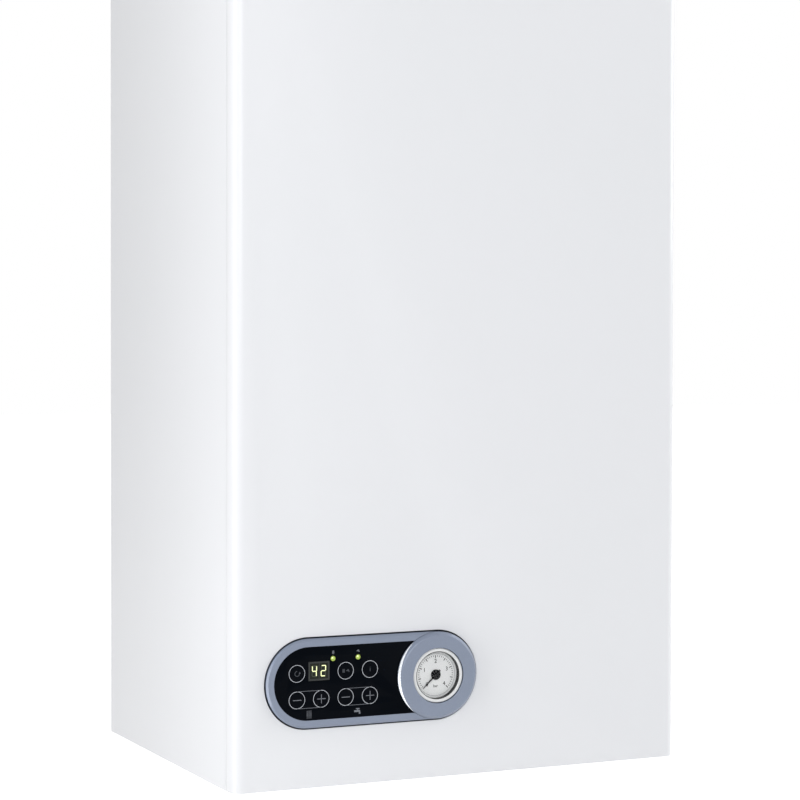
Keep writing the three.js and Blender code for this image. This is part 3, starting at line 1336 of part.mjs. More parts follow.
function flueCollar() {
  const ring = (radius, low, high) => cut(
    rodUp(0, collarOut, low, high, radius),
    rodUp(0, collarOut, low - overrun, high + overrun, radius - collarWall));
  const flangeLow = casingHeight + fit;
  const flange = cut(
    rodUp(0, collarOut, flangeLow, flangeLow + collarFlangeThickness, collarFlange),
    rodUp(0, collarOut, flangeLow - overrun, flangeLow + collarFlangeThickness + overrun,
    collarOuter - collarWall));
  const ribs = [0, 1, 2].map((i) => {
    const angle = tau * i / 3 + tau / 4;
    const spoke = (radius) => at(radius * Math.cos(angle), collarOut + radius * Math.sin(angle), 0);
    const from = spoke(collarInner - collarWall / 2);
    const to = spoke(collarOuter - collarWall / 2);
    const middle = from.clone().add(to).multiplyScalar(1 / 2);
    const geometry = new THREE.BoxGeometry(from.distanceTo(to), collarRib, collarRibHigh - collarRibLow);
    geometry.rotateZ(-angle);
    geometry.translate(middle.x, middle.y, (collarRibLow + collarRibHigh) / 2);
    return solidOf(geometry);
  });
  const solid = join(flange, ring(collarOuter, collarOuterLow, collarHigh),
    ring(collarInner, collarInnerLow, collarHigh), ...ribs);
  return piece('flue_collar', solid, whitePaint);
}

function airPressureSwitch() {
  const wall = airHalfWidth - sheet - fit;
  const drumRight = wall - switchBracket;
  const drumLeft = drumRight - switchDrumDeep;
  const drum = rodAcross(switchDrumOut, switchDrumHeight, drumLeft, drumRight, switchDrumRadius);
  const bracket = block(drumRight - overrun, wall, switchDrumOut - switchBracket / 2,
    switchDrumOut + switchBracket / 2,
    switchDrumHeight - switchDrumRadius, switchDrumHeight - switchDrumRadius / 2);
  const plate = block(wall - sheet, wall, switchDrumOut - switchBracket, switchDrumOut + switchBracket,
    switchDrumHeight - switchDrumRadius, switchDrumHeight + switchDrumRadius);
  const nipple = rodAcross(switchDrumOut, switchDrumHeight, drumLeft - nippleLength, drumLeft + overrun,
    nippleRadius, smallSides);
  return piece('air_pressure_switch', join(drum, bracket, plate, nipple), whitePlastic);
}

function pressureHose() {
  const start = fanX + fanLarge + nippleLength + fit;
  const end = airHalfWidth - sheet - fit - switchBracket - switchDrumDeep - nippleLength - fit;
  const middle = (start + end) / 2;
  const dip = switchDrumHeight - switchDrumRadius;
  const hose = pipe([
    at(start, collarOut, switchDrumHeight), at(start + nippleLength * 2, collarOut, switchDrumHeight),
    at(middle, (collarOut + switchDrumOut) / 2, dip), at(end - nippleLength * 2, switchDrumOut,
    switchDrumHeight),
    at(end, switchDrumOut, switchDrumHeight),
  ], hoseRadius, nippleLength);
  return piece('pressure_hose', hose, siliconeHose);
}

// Half section of the expansion vessel, set in by a wall's thickness, from its back to its front
function vesselProfile(inset) {
  const middle = (vesselBackOut + vesselFrontOut) / 2;
  const half = (vesselFrontOut - vesselBackOut) / 2 - inset;
  const edge = vesselRadius - vesselRimReach - inset;
  const crownShares = [[0, 1], [0.5, 0.96], [0.85, 0.76], [1, 0.3]];
  const front = crownShares.map(([radiusShare, depthShare]) => [edge * radiusShare,
    middle + half * depthShare]);
  const back = crownShares.map(([radiusShare, depthShare]) => [edge * radiusShare,
    middle - half * depthShare]);
  return [...back, ...front.reverse()];
}

function expansionVessel() {
  const middle = (vesselBackOut + vesselFrontOut) / 2;
  const sides = roundSides * 3 / 2;
  const shell = turnedOut(vesselProfile(0), 0, vesselHeight, sides);
  const rim = rodOut(0, vesselHeight, middle - vesselRim, middle + vesselRim, vesselRadius, sides);
  const stud = rodOut(0, vesselHeight, frameFrontOut + fit, vesselBackOut + overrun, vesselStud, smallSides);
  const rimHeight = vesselHeight - Math.sqrt(vesselRadius ** 2 - vesselPort ** 2);
  const port = rodUp(vesselPort, vesselPipeOut, vesselLow, rimHeight + vesselPortRadius * 2,
    vesselPortRadius);
  const hollow = turnedOut(vesselProfile(vesselWall), 0, vesselHeight, sides);
  const bore = rodUp(vesselPort, vesselPipeOut, vesselLow - overrun, vesselHeight, vesselPipeRadius,
    smallSides);
  return piece('expansion_vessel', cut(join(shell, rim, stud, port), hollow, bore), redPaint);
}

function vesselPipe() {
  const route = [
    at(vesselPort, vesselPipeOut, vesselLow - fit), at(vesselPort, vesselPipeOut, vesselPipeBendHeight),
    at(vesselPipeX, vesselPipeOut, vesselPipeBendHeight), at(vesselPipeX, tailOut, vesselPipeBendHeight),
    at(vesselPipeX, tailOut, groupHeight + groupRadius + fit),
  ];
  return piece('vessel_pipe', pipe(route, vesselPipeRadius, vesselPipeRadius * 2), copper);
}

// A threaded connection that points down through the bottom plate, with its hexagonal collar
function tail(x, radius, high) {
  return join(
    rodUp(x, tailOut, tailLow, high, radius),
    rodUp(x, tailOut, collarNutLow, collarNutHigh, radius + collarNutGrowth, hexSides));
}

function tailBore(x, radius, high) {
  return rodUp(x, tailOut, tailLow - overrun, high, radius, smallSides);
}

function platePorts(side) {
  return [platePortLow, platePortHigh].map((z) => rodOut(side * platePortX, z, tailOut, plateBackOut - fit,
    platePortRadius, smallSides));
}

function flowGroup() {
  const body = rodAcross(tailOut, groupHeight, flowX - groupOverhang, hotX + groupOverhang, groupRadius);
  const column = rodUp(flowX, tailOut, diverterLow, diverterHigh, diverterRadius);
  const portColumn = block(-platePortX - platePortRadius, -platePortX + platePortRadius,
    tailOut - platePortRadius,
    tailOut + platePortRadius, platePortLow - platePortRadius, platePortHigh + platePortRadius);
  const boss = rodUp(-mainPipeX, flowPipeOut, flowArmHeight - bossRadius, flowBossHigh, bossRadius);
  const arm = rod(at(flowX, tailOut, flowArmHeight), at(-mainPipeX, flowPipeOut, flowArmHeight),
    armRadius, smallSides);
  const outside = join(body, column, portColumn, boss, arm, ...platePorts(-1),
    tail(flowX, bigTail, diverterLow + overrun), tail(hotX, smallTail, groupHeight));
  const chamber = rodUp(flowX, tailOut, diverterBoreLow, diverterBoreHigh, diverterBore);
  const seal = rodUp(flowX, tailOut, diverterBoreHigh - overrun, diverterHigh + overrun, diverterSeal,
    smallSides);
  const solid = cut(outside, chamber, seal, tailBore(flowX, bigBore, diverterBoreLow + overrun),
    tailBore(hotX, smallBore, groupHeight - groupRadius));
  return piece('flow_group', solid, brass);
}

function diverterStemPiece() {
  const stem = rodUp(flowX, tailOut, diverterStemLow, diverterStemHigh, diverterStem, smallSides);
  const disc = rodUp(flowX, tailOut, diverterDiscLow, diverterDiscHigh, diverterDisc, smallSides);
  return piece('diverter_stem', join(stem, disc), stainless);
}

function diverterMotor() {
  const low = diverterHigh + fit;
  const outline = roundedRectangle(flowX - diverterMotorHalf, flowX + diverterMotorHalf,
    -tailOut - diverterMotorDeep / 2, -tailOut + diverterMotorDeep / 2, diverterMotorCorner);
  const body = planOutline(outline, low, low + diverterMotorTall);
  const recess = rodUp(flowX, tailOut, low - overrun, diverterStemHigh + diverterTravelRoom,
    diverterRecess, smallSides);
  return piece('diverter_motor', cut(body, recess), blackPlastic);
}

function plateExchanger() {
  const layer = (inset, out0, out1) => frontOutline(roundedRectangle(
    inset - plateHalfWidth, plateHalfWidth - inset, plateLow + inset, plateHigh - inset, plateCorner - inset),
    out0, out1, cornerSteps / 2);
  const core = layer(plateInset, plateBackOut, plateFrontOut);
  const pitch = (plateFrontOut - plateBackOut) / plateCount;
  const plates = Array.from({ length: plateCount }, (_, i) => {
    const out = plateBackOut + (i + (1 - plateShare) / 2) * pitch;
    return layer(0, out, out + pitch * plateShare);
  });
  return piece('plate_exchanger', join(core, ...plates), stainless);
}

function returnGroup() {
  const body = rodAcross(tailOut, groupHeight, coldX - groupOverhang, returnX + groupOverhang, groupRadius);
  const portColumn = block(platePortX - platePortRadius, platePortX + platePortRadius,
    tailOut - platePortRadius,
    tailOut + platePortRadius, platePortLow - platePortRadius, platePortHigh + platePortRadius);
  const neck = rod(at(pumpX, tailOut, groupHeight), at(pumpX, pumpBackOut + voluteDeep / 2,
    pumpHeight - voluteRadius + pumpNeckRadius),
    pumpNeckRadius);
  const volute = rodOut(pumpX, pumpHeight, pumpBackOut, voluteFrontOut, voluteRadius);
  const returnBoss = rodUp(mainPipeX, mainPipeOut, pumpHeight, returnBossHigh, bossRadius);
  const vent = rodUp(pumpX, mainPipeOut, pumpHeight + voluteRadius - ventRadius, ventHigh, ventRadius);
  const safety = rodOut(safetyX, groupHeight, tailOut, safetyFrontOut, safetyRadius);
  const safetyArm = rodAcross(tailOut, groupHeight, returnX, safetyX + safetyRadius, safetyRadius);
  const filling = rodUp(fillingX, tailOut, fillingBossLow, groupHeight, fillingBoss);
  const outside = join(body, portColumn, neck, volute, returnBoss, vent, safety, safetyArm, filling,
    ...platePorts(1), tail(coldX, smallTail, groupHeight), tail(returnX, bigTail, groupHeight));
  const voluteHollow = rodOut(pumpX, pumpHeight, pumpBackOut + voluteWall, voluteFrontOut + overrun,
    voluteRadius - voluteWall * 2);
  const solid = cut(outside, voluteHollow, tailBore(coldX, smallBore, groupHeight - groupRadius / 2),
    tailBore(returnX, bigBore, groupHeight),
    rodUp(fillingX, tailOut, fillingBossLow - overrun, fillingStemHigh + overrun, fillingBore, smallSides));
  return piece('return_group', solid, brass);
}

function pumpMotor() {
  const back = pumpMotorOut;
  const front = back + pumpMotorDeep;
  const body = turnedOut([
    [0, back], [voluteRadius, back], [voluteRadius, back + voluteWall], [pumpMotorRadius, back + voluteWall],
    [pumpMotorRadius, front - pumpMotorStep], [pumpMotorRadius - pumpMotorStep / 2, front - pumpPlugDeep],
    [pumpPlugRadius, front - pumpPlugDeep], [pumpPlugRadius, front], [0, front],
  ], pumpX, pumpHeight);
  const terminals = block(pumpX - pumpMotorRadius - pumpMotorStep, pumpX, back + voluteWall * 2,
    front - pumpMotorStep * 2, pumpHeight - pumpMotorStep * 2, pumpHeight + pumpMotorStep * 2);
  const bore = rodOut(pumpX, pumpHeight, back - overrun, back + rotorShaftInMotor + overrun,
    rotorShaftBore, smallSides);
  return piece('pump_motor', cut(join(body, terminals), bore), darkPaint);
}

function pumpRotor() {
  const back = pumpBackOut + voluteWall + rotorBackGap;
  const disc = rodOut(pumpX, pumpHeight, back, back + rotorDeep - rotorVaneRise, rotorRadius);
  const vanes = Array.from({ length: rotorVanes }, (_, i) => {
    const angle = tau * i / rotorVanes;
    const along = [Math.cos(angle), Math.sin(angle)];
    const corner = (radius, side) => [
      pumpX + radius * along[0] - side * along[1] * rotorVaneThickness / 2,
      pumpHeight + radius * along[1] + side * along[0] * rotorVaneThickness / 2,
    ];
    return frontOutline(polygon([corner(0, -1), corner(rotorRadius, -1), corner(rotorRadius, 1),
      corner(0, 1)]),
      back + rotorDeep - rotorVaneRise * 2, back + rotorDeep);
  });
  const shaft = rodOut(pumpX, pumpHeight, back, pumpMotorOut + rotorShaftInMotor, rotorShaft, smallSides);
  return piece('pump_rotor', join(disc, ...vanes, shaft), stainless);
}

function airVentCap() {
  const low = ventHigh + fit;
  const cap = join(
    rodUp(pumpX, mainPipeOut, low, low + ventCapTall * 2 / 3, ventCapRadius, hexSides * 2),
    rodUp(pumpX, mainPipeOut, low, low + ventCapTall, ventCapRadius * 2 / 3, smallSides));
  return piece('air_vent_cap', cap, blackPlastic);
}

// A grip outline with shallow lobes round its edge
function lobedOutline(x, y, radius) {
  const steps = knobLobes * 4;
  const points = Array.from({ length: steps }, (_, i) => {
    const angle = tau * i / steps;
    const reach = radius * (1 - knobLobeShare * (1 - Math.cos(angle * knobLobes)) / 2);
    return [x + reach * Math.cos(angle), y + reach * Math.sin(angle)];
  });
  return polygon(points);
}

function safetyKnob() {
  const back = safetyFrontOut + fit;
  const knob = frontOutline(lobedOutline(safetyX, groupHeight, safetyKnobRadius), back,
    back + safetyKnobDeep);
  return piece('safety_knob', knob, redPlastic);
}

function fillingKnob() {
  const grip = planOutline(lobedOutline(fillingX, -tailOut, fillingKnobRadius), fillingKnobLow,
    fillingKnobHigh);
  const stem = rodUp(fillingX, tailOut, fillingKnobHigh - overrun, fillingStemHigh, fillingStem, smallSides);
  return piece('filling_knob', join(grip, stem), bluePlastic);
}

function gasValve() {
  const body = block(-valveHalfWidth, valveHalfWidth, valveBackOut, valveFrontOut, valveLow, valveHigh);
  const coils = [-1, 1].map((side) => rodOut(side * valveHalfWidth / 2, solenoidHeight,
    valveFrontOut - overrun,
    valveFrontOut + solenoidDeep, solenoidRadius));
  const regulator = rodOut(0, regulatorHeight, valveFrontOut - overrun, valveFrontOut + regulatorDeep,
    regulatorRadius);
  return piece('gas_valve', join(body, ...coils, regulator), castAluminium);
}

function gasInlet() {
  const solid = cut(
    join(rodUp(0, tailOut, tailLow, floorHeight, bigTail), rodUp(0, tailOut, tailLow, valveLow - fit,
    gasPipe),
      rodUp(0, tailOut, collarNutLow, collarNutHigh, bigTail + collarNutGrowth, hexSides),
      rodUp(0, tailOut, gasNutLow, valveLow - fit, gasPipe + gasNutGrowth, hexSides),
      rodUp(0, tailOut, floorHeight - overrun, collarNutHigh, bigTail)),
    rodUp(0, tailOut, tailLow - overrun, valveLow + overrun, gasBore, smallSides));
  return piece('gas_inlet', solid, brass);
}

function flowPipe() {
  const end = -(chamberHalfWidth + exchangerTubeRadius + fit);
  const route = [
    at(-mainPipeX, flowPipeOut, flowBossHigh + fit), at(-mainPipeX, flowPipeOut, exchangerPortHeight),
    at(end, flowPipeOut, exchangerPortHeight),
  ];
  return piece('flow_pipe', pipe(route, mainPipe, mainPipeBend / 2), copper);
}

function returnPipe() {
  const end = chamberHalfWidth + exchangerTubeRadius + fit;
  const route = [
    at(mainPipeX, mainPipeOut, returnBossHigh + fit), at(mainPipeX, mainPipeOut, exchangerPortHeight),
    at(mainPipeX, returnPortOut, exchangerPortHeight), at(end, returnPortOut, exchangerPortHeight),
  ];
  return piece('return_pipe', pipe(route, mainPipe, mainPipeBend / 2), copper);
}

function casing() {
  const group = new THREE.Group();
  group.add(frontCover(), sidePanel('left_panel', -1), sidePanel('right_panel', 1), backFrame(), topPlate(),
    bottomPlate(), wallBracket());
  return group;
}

function controlPanel() {
  const group = new THREE.Group();
  group.add(controlBox(), controlRearCover(), controlBoard(), bezel(), fasciaWindow(), display());
  group.add(lamp('lamp_heating', lampPlaces[0]), lamp('lamp_water', lampPlaces[1]));
  buttonPlaces().forEach(([name, x, z]) => group.add(button(name, x, z)));
  group.add(gaugeRing(), gaugeCase(), gaugeDial(), gaugeNeedle(), gaugeLens(), gaugeCapillary());
  return group;
}

function combustionSide() {
  const group = new THREE.Group();
  group.add(airBox(), airBoxCover(), sightGlass(), combustionChamber(), chamberLining(), burner(),
    gasManifold(),
    electrodeBlock(), heatExchanger(), flueHood(), fanHousing(), fanImpeller(), fanMotor(), flueCollar(),
    airPressureSwitch(), pressureHose());
  return group;
}

function waterSide() {
  const group = new THREE.Group();
  group.add(expansionVessel(), vesselPipe(), flowGroup(), diverterStemPiece(), diverterMotor(),
    plateExchanger(),
    returnGroup(), pumpMotor(), pumpRotor(), airVentCap(), safetyKnob(), fillingKnob(), gasValve(),
    gasInlet(),
    flowPipe(), returnPipe());
  return group;
}

const boiler = new THREE.Group();
boiler.add(casing(), controlPanel(), combustionSide(), waterSide());
boiler.position.z = -bracketHeight;

export default boiler;
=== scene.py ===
# %% [markdown]
# # A wall-hung gas boiler
# The frame that is loaded here holds every solid of the boiler, each in its real place and size. The
# script makes finer pieces for what the eye rests on, gives every solid a finish, and lights it all. The
# same could be drawn by hand in the window. A script was chosen because each size then has a name, and a
# reader can change one and watch what follows from it.

# %% Load the frame
import json
import math
import bpy
from mathutils import Matrix, Vector
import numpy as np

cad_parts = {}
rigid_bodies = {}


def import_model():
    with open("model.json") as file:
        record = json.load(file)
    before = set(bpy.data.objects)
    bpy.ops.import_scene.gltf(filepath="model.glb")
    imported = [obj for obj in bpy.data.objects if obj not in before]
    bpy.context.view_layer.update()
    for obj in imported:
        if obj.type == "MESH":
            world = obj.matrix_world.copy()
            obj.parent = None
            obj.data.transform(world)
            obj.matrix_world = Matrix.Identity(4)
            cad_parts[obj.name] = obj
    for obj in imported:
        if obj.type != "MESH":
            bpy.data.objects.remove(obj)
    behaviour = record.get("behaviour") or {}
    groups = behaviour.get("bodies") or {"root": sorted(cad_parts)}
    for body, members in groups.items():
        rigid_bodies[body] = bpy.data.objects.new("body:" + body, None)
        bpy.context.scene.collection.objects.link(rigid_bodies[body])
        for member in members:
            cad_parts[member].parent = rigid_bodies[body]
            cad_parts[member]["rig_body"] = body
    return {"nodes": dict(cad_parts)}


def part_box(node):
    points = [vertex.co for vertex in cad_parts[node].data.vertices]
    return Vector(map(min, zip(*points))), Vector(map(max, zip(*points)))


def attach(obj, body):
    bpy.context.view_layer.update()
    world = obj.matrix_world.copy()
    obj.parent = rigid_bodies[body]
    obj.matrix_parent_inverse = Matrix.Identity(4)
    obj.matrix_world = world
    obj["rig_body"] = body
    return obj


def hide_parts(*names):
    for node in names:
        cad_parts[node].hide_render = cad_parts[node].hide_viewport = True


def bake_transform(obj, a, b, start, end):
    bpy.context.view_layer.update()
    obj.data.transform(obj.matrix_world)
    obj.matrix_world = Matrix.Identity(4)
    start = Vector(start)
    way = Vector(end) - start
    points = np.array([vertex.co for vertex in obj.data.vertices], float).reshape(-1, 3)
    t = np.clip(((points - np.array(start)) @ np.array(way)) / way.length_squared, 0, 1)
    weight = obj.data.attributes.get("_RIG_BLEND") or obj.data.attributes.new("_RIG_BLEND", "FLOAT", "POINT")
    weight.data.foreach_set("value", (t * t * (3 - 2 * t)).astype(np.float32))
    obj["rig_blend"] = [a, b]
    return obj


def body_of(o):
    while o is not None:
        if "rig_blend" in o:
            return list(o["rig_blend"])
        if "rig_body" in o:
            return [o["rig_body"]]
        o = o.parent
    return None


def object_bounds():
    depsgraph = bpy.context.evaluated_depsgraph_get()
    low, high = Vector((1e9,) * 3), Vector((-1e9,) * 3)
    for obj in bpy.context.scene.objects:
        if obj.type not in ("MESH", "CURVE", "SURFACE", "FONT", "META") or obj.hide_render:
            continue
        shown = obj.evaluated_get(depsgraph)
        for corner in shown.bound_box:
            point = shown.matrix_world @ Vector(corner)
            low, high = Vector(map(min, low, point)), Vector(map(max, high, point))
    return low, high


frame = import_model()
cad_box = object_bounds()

solids = frame["nodes"]

# %% [markdown]
# ## The camera
# A product photograph is taken from some way off with a long lens, so that the upright edges stay nearly
# parallel. The camera could be turned by eye until the picture looks right. Here its place, turn and lens
# are given as numbers, and its three axes are worked out from them, so that the corners of the casing
# fall where they should.

# %% Camera
camera_place = Vector((-0.8213, -1.9557, -0.2816))
camera_turn = math.radians(24.884)
camera_dip = math.radians(1.227)
camera_roll = math.radians(0.128)
camera_lens = 102.3
camera_shift = -0.0231

ahead = Vector((math.sin(camera_turn) * math.cos(camera_dip),
                math.cos(camera_turn) * math.cos(camera_dip),
                -math.sin(camera_dip)))
level = Vector((math.cos(camera_turn), -math.sin(camera_turn), 0))
plumb = level.cross(ahead)
across = level * math.cos(camera_roll) + plumb * math.sin(camera_roll)
upward = across.cross(ahead)
camera_axes = Matrix((across, upward, -ahead)).transposed().to_4x4()
bpy.ops.object.camera_add(location=camera_place)
camera = bpy.context.object
camera.data.lens = camera_lens
camera.data.shift_y = camera_shift
camera.matrix_world = Matrix.Translation(camera_place) @ camera_axes
bpy.context.scene.camera = camera
print("camera looks along", tuple(round(part, 3) for part in ahead))

# %% [markdown]
# ## Hands for the work
# In the window, a maker selects one thing, changes it and goes on. In a script the selection is easily
# forgotten, and an operator then acts on everything. So each helper below selects only what it works on.

# %% Selecting
def take(piece):
    """Makes this piece the only selected one."""
    if bpy.context.object and bpy.context.object.mode != "OBJECT":
        bpy.ops.object.mode_set(mode="OBJECT")
    bpy.ops.object.select_all(action="DESELECT")
    if piece:
        piece.select_set(True)
        bpy.context.view_layer.objects.active = piece
    return piece


def pick(piece, kind, wanted):
    """Goes to edit mode with only the corners, edges or faces selected that are wanted."""
    take(piece)
    kinds = ("VERT", "EDGE", "FACE")
    bpy.context.tool_settings.mesh_select_mode = [kind == each for each in kinds]
    groups = dict(zip(kinds, (piece.data.vertices, piece.data.edges, piece.data.polygons)))
    for group in groups.values():
        group.foreach_set("select", [False] * len(group))
    for item in groups[kind]:
        item.select = bool(wanted(item))
    bpy.ops.object.mode_set(mode="EDIT")


def ends(piece, edge):
    """The two ends of an edge."""
    return [piece.data.vertices[number].co for number in edge.vertices]


def runs_along(piece, axis):
    """A test for the edges that run along one axis."""
    nearly = 0.999

    def wanted(edge):
        start, end = ends(piece, edge)
        return abs((end - start)[axis]) > (end - start).length * nearly
    return wanted


def settle(piece):
    """Puts the place, turn and scale of a piece into its mesh."""
    take(piece)
    bpy.ops.object.transform_apply(location=True, rotation=True, scale=True)
    return piece


take(None)
print("selected now:", len(bpy.context.selected_objects))

# %% [markdown]
# ## Shapes that come back again and again
# A pressed or moulded piece is mostly a block with rounded edges, or a shape from a lathe. A block starts
# as a cube. A turned shape starts as a circle that is extruded ring by ring, as a maker would draw its
# outline. Spinning an outline would do as well, but then the outline has to be closed by hand.

# %% Edges
weld = 0.000002
smooth_angle = math.radians(32)
sharp_angle = math.radians(28)


def smooth(piece, angle=smooth_angle):
    """Shades round faces smoothly and keeps sharp edges sharp."""
    take(piece)
    bpy.ops.object.shade_smooth_by_angle(angle=angle)
    return piece


def modified(piece, kind, **settings):
    """Adds a modifier and applies it at once."""
    take(piece)
    bpy.ops.object.modifier_add(type=kind)
    modifier = piece.modifiers[-1]
    for name, value in settings.items():
        setattr(modifier, name, value)
    bpy.ops.object.modifier_apply(modifier=modifier.name)
    return piece


def soften(piece, width, steps=2, angle=sharp_angle):
    """Rounds every sharp edge a little, so that it catches the light."""
    modified(piece, "BEVEL", width=width, segments=steps, limit_method="ANGLE", angle_limit=angle)
    return smooth(piece)


print("edges sharper than", round(math.degrees(sharp_angle)), "degrees can be rounded")

# %% Blocks
def block(name, low, high):
    """A cube, added at its size and place."""
    take(None)
    low, high = Vector(low), Vector(high)
    bpy.ops.mesh.primitive_cube_add(size=1, location=(low + high) / 2, scale=high - low)
    bpy.context.object.name = name
    return settle(bpy.context.object)


def round_edges(piece, wanted, radius, steps):
    """Rounds the wanted edges of a piece."""
    pick(piece, "EDGE", wanted)
    bpy.ops.mesh.bevel(offset=radius, segments=steps, affect="EDGES", clamp_overlap=True)
    bpy.ops.mesh.select_all(action="SELECT")
    bpy.ops.mesh.remove_doubles(threshold=weld)
    bpy.ops.object.mode_set(mode="OBJECT")
    return piece


stadium_steps = 48


def stadium(name, low, high):
    """A plate with fully round ends: a cube whose four edges from front to back are rounded."""
    plate = block(name, low, high)
    radius = (high[2] - low[2]) / 2
    return round_edges(plate, runs_along(plate, 1), radius, stadium_steps)


print("round ends have", stadium_steps, "steps to a corner")

# %% Cutting, joining and copying
def cut(piece, *cutters):
    """Takes the cutters away from a piece, and then the cutters themselves."""
    for cutter in cutters:
        modified(piece, "BOOLEAN", operation="DIFFERENCE", solver="EXACT", object=cutter)
        bpy.data.objects.remove(cutter)
    return piece


def joined(pieces, name):
    """Several meshes made into one."""
    take(pieces[0])
    for piece in pieces:
        piece.select_set(True)
    bpy.ops.object.join()
    pieces[0].name = name
    return pieces[0]


def copied(piece, name, move=None):
    """A copy with its own mesh, moved by a matrix if one is given."""
    other = piece.copy()
    other.data = piece.data.copy()
    other.name = name
    other.parent = None
    bpy.context.collection.objects.link(other)
    other.matrix_world = move or Matrix.Identity(4)
    return settle(other)


# %% Turned shapes
round_sides = 72
quarter = math.pi / 2
ways = {"out": Vector((0, -1, 0)), "up": Vector((0, 0, 1))}
way_turns = {"out": (quarter, 0, 0), "up": (0, 0, 0)}


def turned(name, way, place, rings, sides=round_sides, ring=False):
    """A shape from the lathe. Each of its rings is a radius and how far along the axis it lies."""
    take(None)
    bpy.context.tool_settings.mesh_select_mode = (True, False, False)
    place = Vector(place)
    radius, along = rings[0]
    bpy.ops.mesh.primitive_circle_add(vertices=sides, radius=radius, rotation=way_turns[way],
                                      location=place + ways[way] * along,
                                      fill_type="NOTHING" if ring else "NGON")
    piece = bpy.context.object
    piece.name = name
    bpy.ops.object.mode_set(mode="EDIT")
    bpy.ops.mesh.select_all(action="SELECT")
    for next_radius, next_along in rings[1:]:
        step = ways[way] * (next_along - along)
        bpy.ops.mesh.extrude_region_move(TRANSFORM_OT_translate={"value": step})
        share = next_radius / radius
        bpy.ops.transform.resize(value=(share, share, share), center_override=place + ways[way] * next_along)
        radius, along = next_radius, next_along
    bpy.ops.mesh.select_all(action="SELECT")
    bpy.ops.mesh.remove_doubles(threshold=weld)
    bpy.ops.mesh.normals_make_consistent(inside=False)
    bpy.ops.object.mode_set(mode="OBJECT")
    return smooth(settle(piece))


print("turned shapes have", round_sides, "sides")

# %% Pipes
bend_steps = 10
pipe_rounds = 8
bend_room_share = 0.48


def closer(points, spacing):
    """The same path with points added, so that no step is longer than the spacing."""
    path = []
    for start, end in zip(points, points[1:]):
        count = math.ceil((end - start).length / spacing)
        path += [start.lerp(end, step / count) for step in range(count)]
    return path + [points[-1]]


def pipe(name, corners, radius, bend, spacing=None):
    """A pipe through the corners, with a bend at each: a curve with thickness, made a mesh.

    Its straight stretches need no points, unless the pipe is to flex later. Then spacing says how close
    they are.
    """
    corners = [Vector(corner) for corner in corners]
    points = [corners[0]]
    for before, here, after in zip(corners, corners[1:], corners[2:]):
        back, on = (before - here).normalized(), (after - here).normalized()
        half = (math.pi - back.angle(on)) / 2
        room = min((before - here).length, (after - here).length) * bend_room_share
        length = min(bend * math.tan(half), room)
        radius_here = length / math.tan(half)
        start, end = here + back * length, here + on * length
        centre = here + (back + on).normalized() * (radius_here / math.cos(half))
        for step in range(bend_steps + 1):
            arm = (start - centre).slerp(end - centre, step / bend_steps)
            points.append(centre + arm.normalized() * radius_here)
    points.append(corners[-1])
    if spacing:
        points = closer(points, spacing)
    curve = bpy.data.curves.new(name, "CURVE")
    curve.dimensions = "3D"
    curve.bevel_depth = radius
    curve.bevel_resolution = pipe_rounds
    curve.use_fill_caps = True
    spline = curve.splines.new("POLY")
    spline.points.add(len(points) - 1)
    for point, place in zip(spline.points, points):
        point.co = (*place, 1)
    piece = bpy.data.objects.new(name, curve)
    bpy.context.collection.objects.link(piece)
    take(piece)
    bpy.ops.object.convert(target="MESH")
    return smooth(bpy.context.object)


print("each bend of a pipe has", bend_steps, "steps")

# %% Lettering
def lettering(name, words, height, place, thickness):
    """Digits or a word that stand on an upright face and are read from the front."""
    take(None)
    bpy.ops.object.text_add(location=place, rotation=(quarter, 0, 0))
    text = bpy.context.object
    text.name = name
    text.data.body = words
    text.data.size = height
    text.data.extrude = thickness
    text.data.align_x = "CENTER"
    text.data.align_y = "CENTER"
    bpy.ops.object.convert(target="MESH")
    return settle(bpy.context.object)


print("letters are made a mesh as soon as they are written")

# %% [markdown]
# ## Writing a finish
# A finish is a node tree. Drawn in the window, its sums become a web of Math nodes that nobody can read.
# So one class wraps a socket and understands plus, minus and times, and one method adds any other node.

# %% Sockets
class Wire:
    """A socket that Python's signs work on. Each sign adds a Math node."""

    def __init__(self, finish, socket):
        self.finish = finish
        self.socket = socket

    def maths(self, operation, first, second):
        return self.finish.node("Math", {0: first, 1: second}, operation=operation)

    def __add__(self, other):
        return self.maths("ADD", self, other)

    def __radd__(self, other):
        return self.maths("ADD", other, self)

    def __sub__(self, other):
        return self.maths("SUBTRACT", self, other)

    def __rsub__(self, other):
        return self.maths("SUBTRACT", other, self)

    def __mul__(self, other):
        return self.maths("MULTIPLY", self, other)

    def __rmul__(self, other):
        return self.maths("MULTIPLY", other, self)

    def __gt__(self, other):
        return self.maths("GREATER_THAN", self, other)

    def __lt__(self, other):
        return self.maths("LESS_THAN", self, other)


print("plus, minus, times and the two comparisons now add Math nodes")

# %% Nodes
ready_stops = 2
mix_share = 0
mix_first = 6
mix_second = 7
mix_result = 2


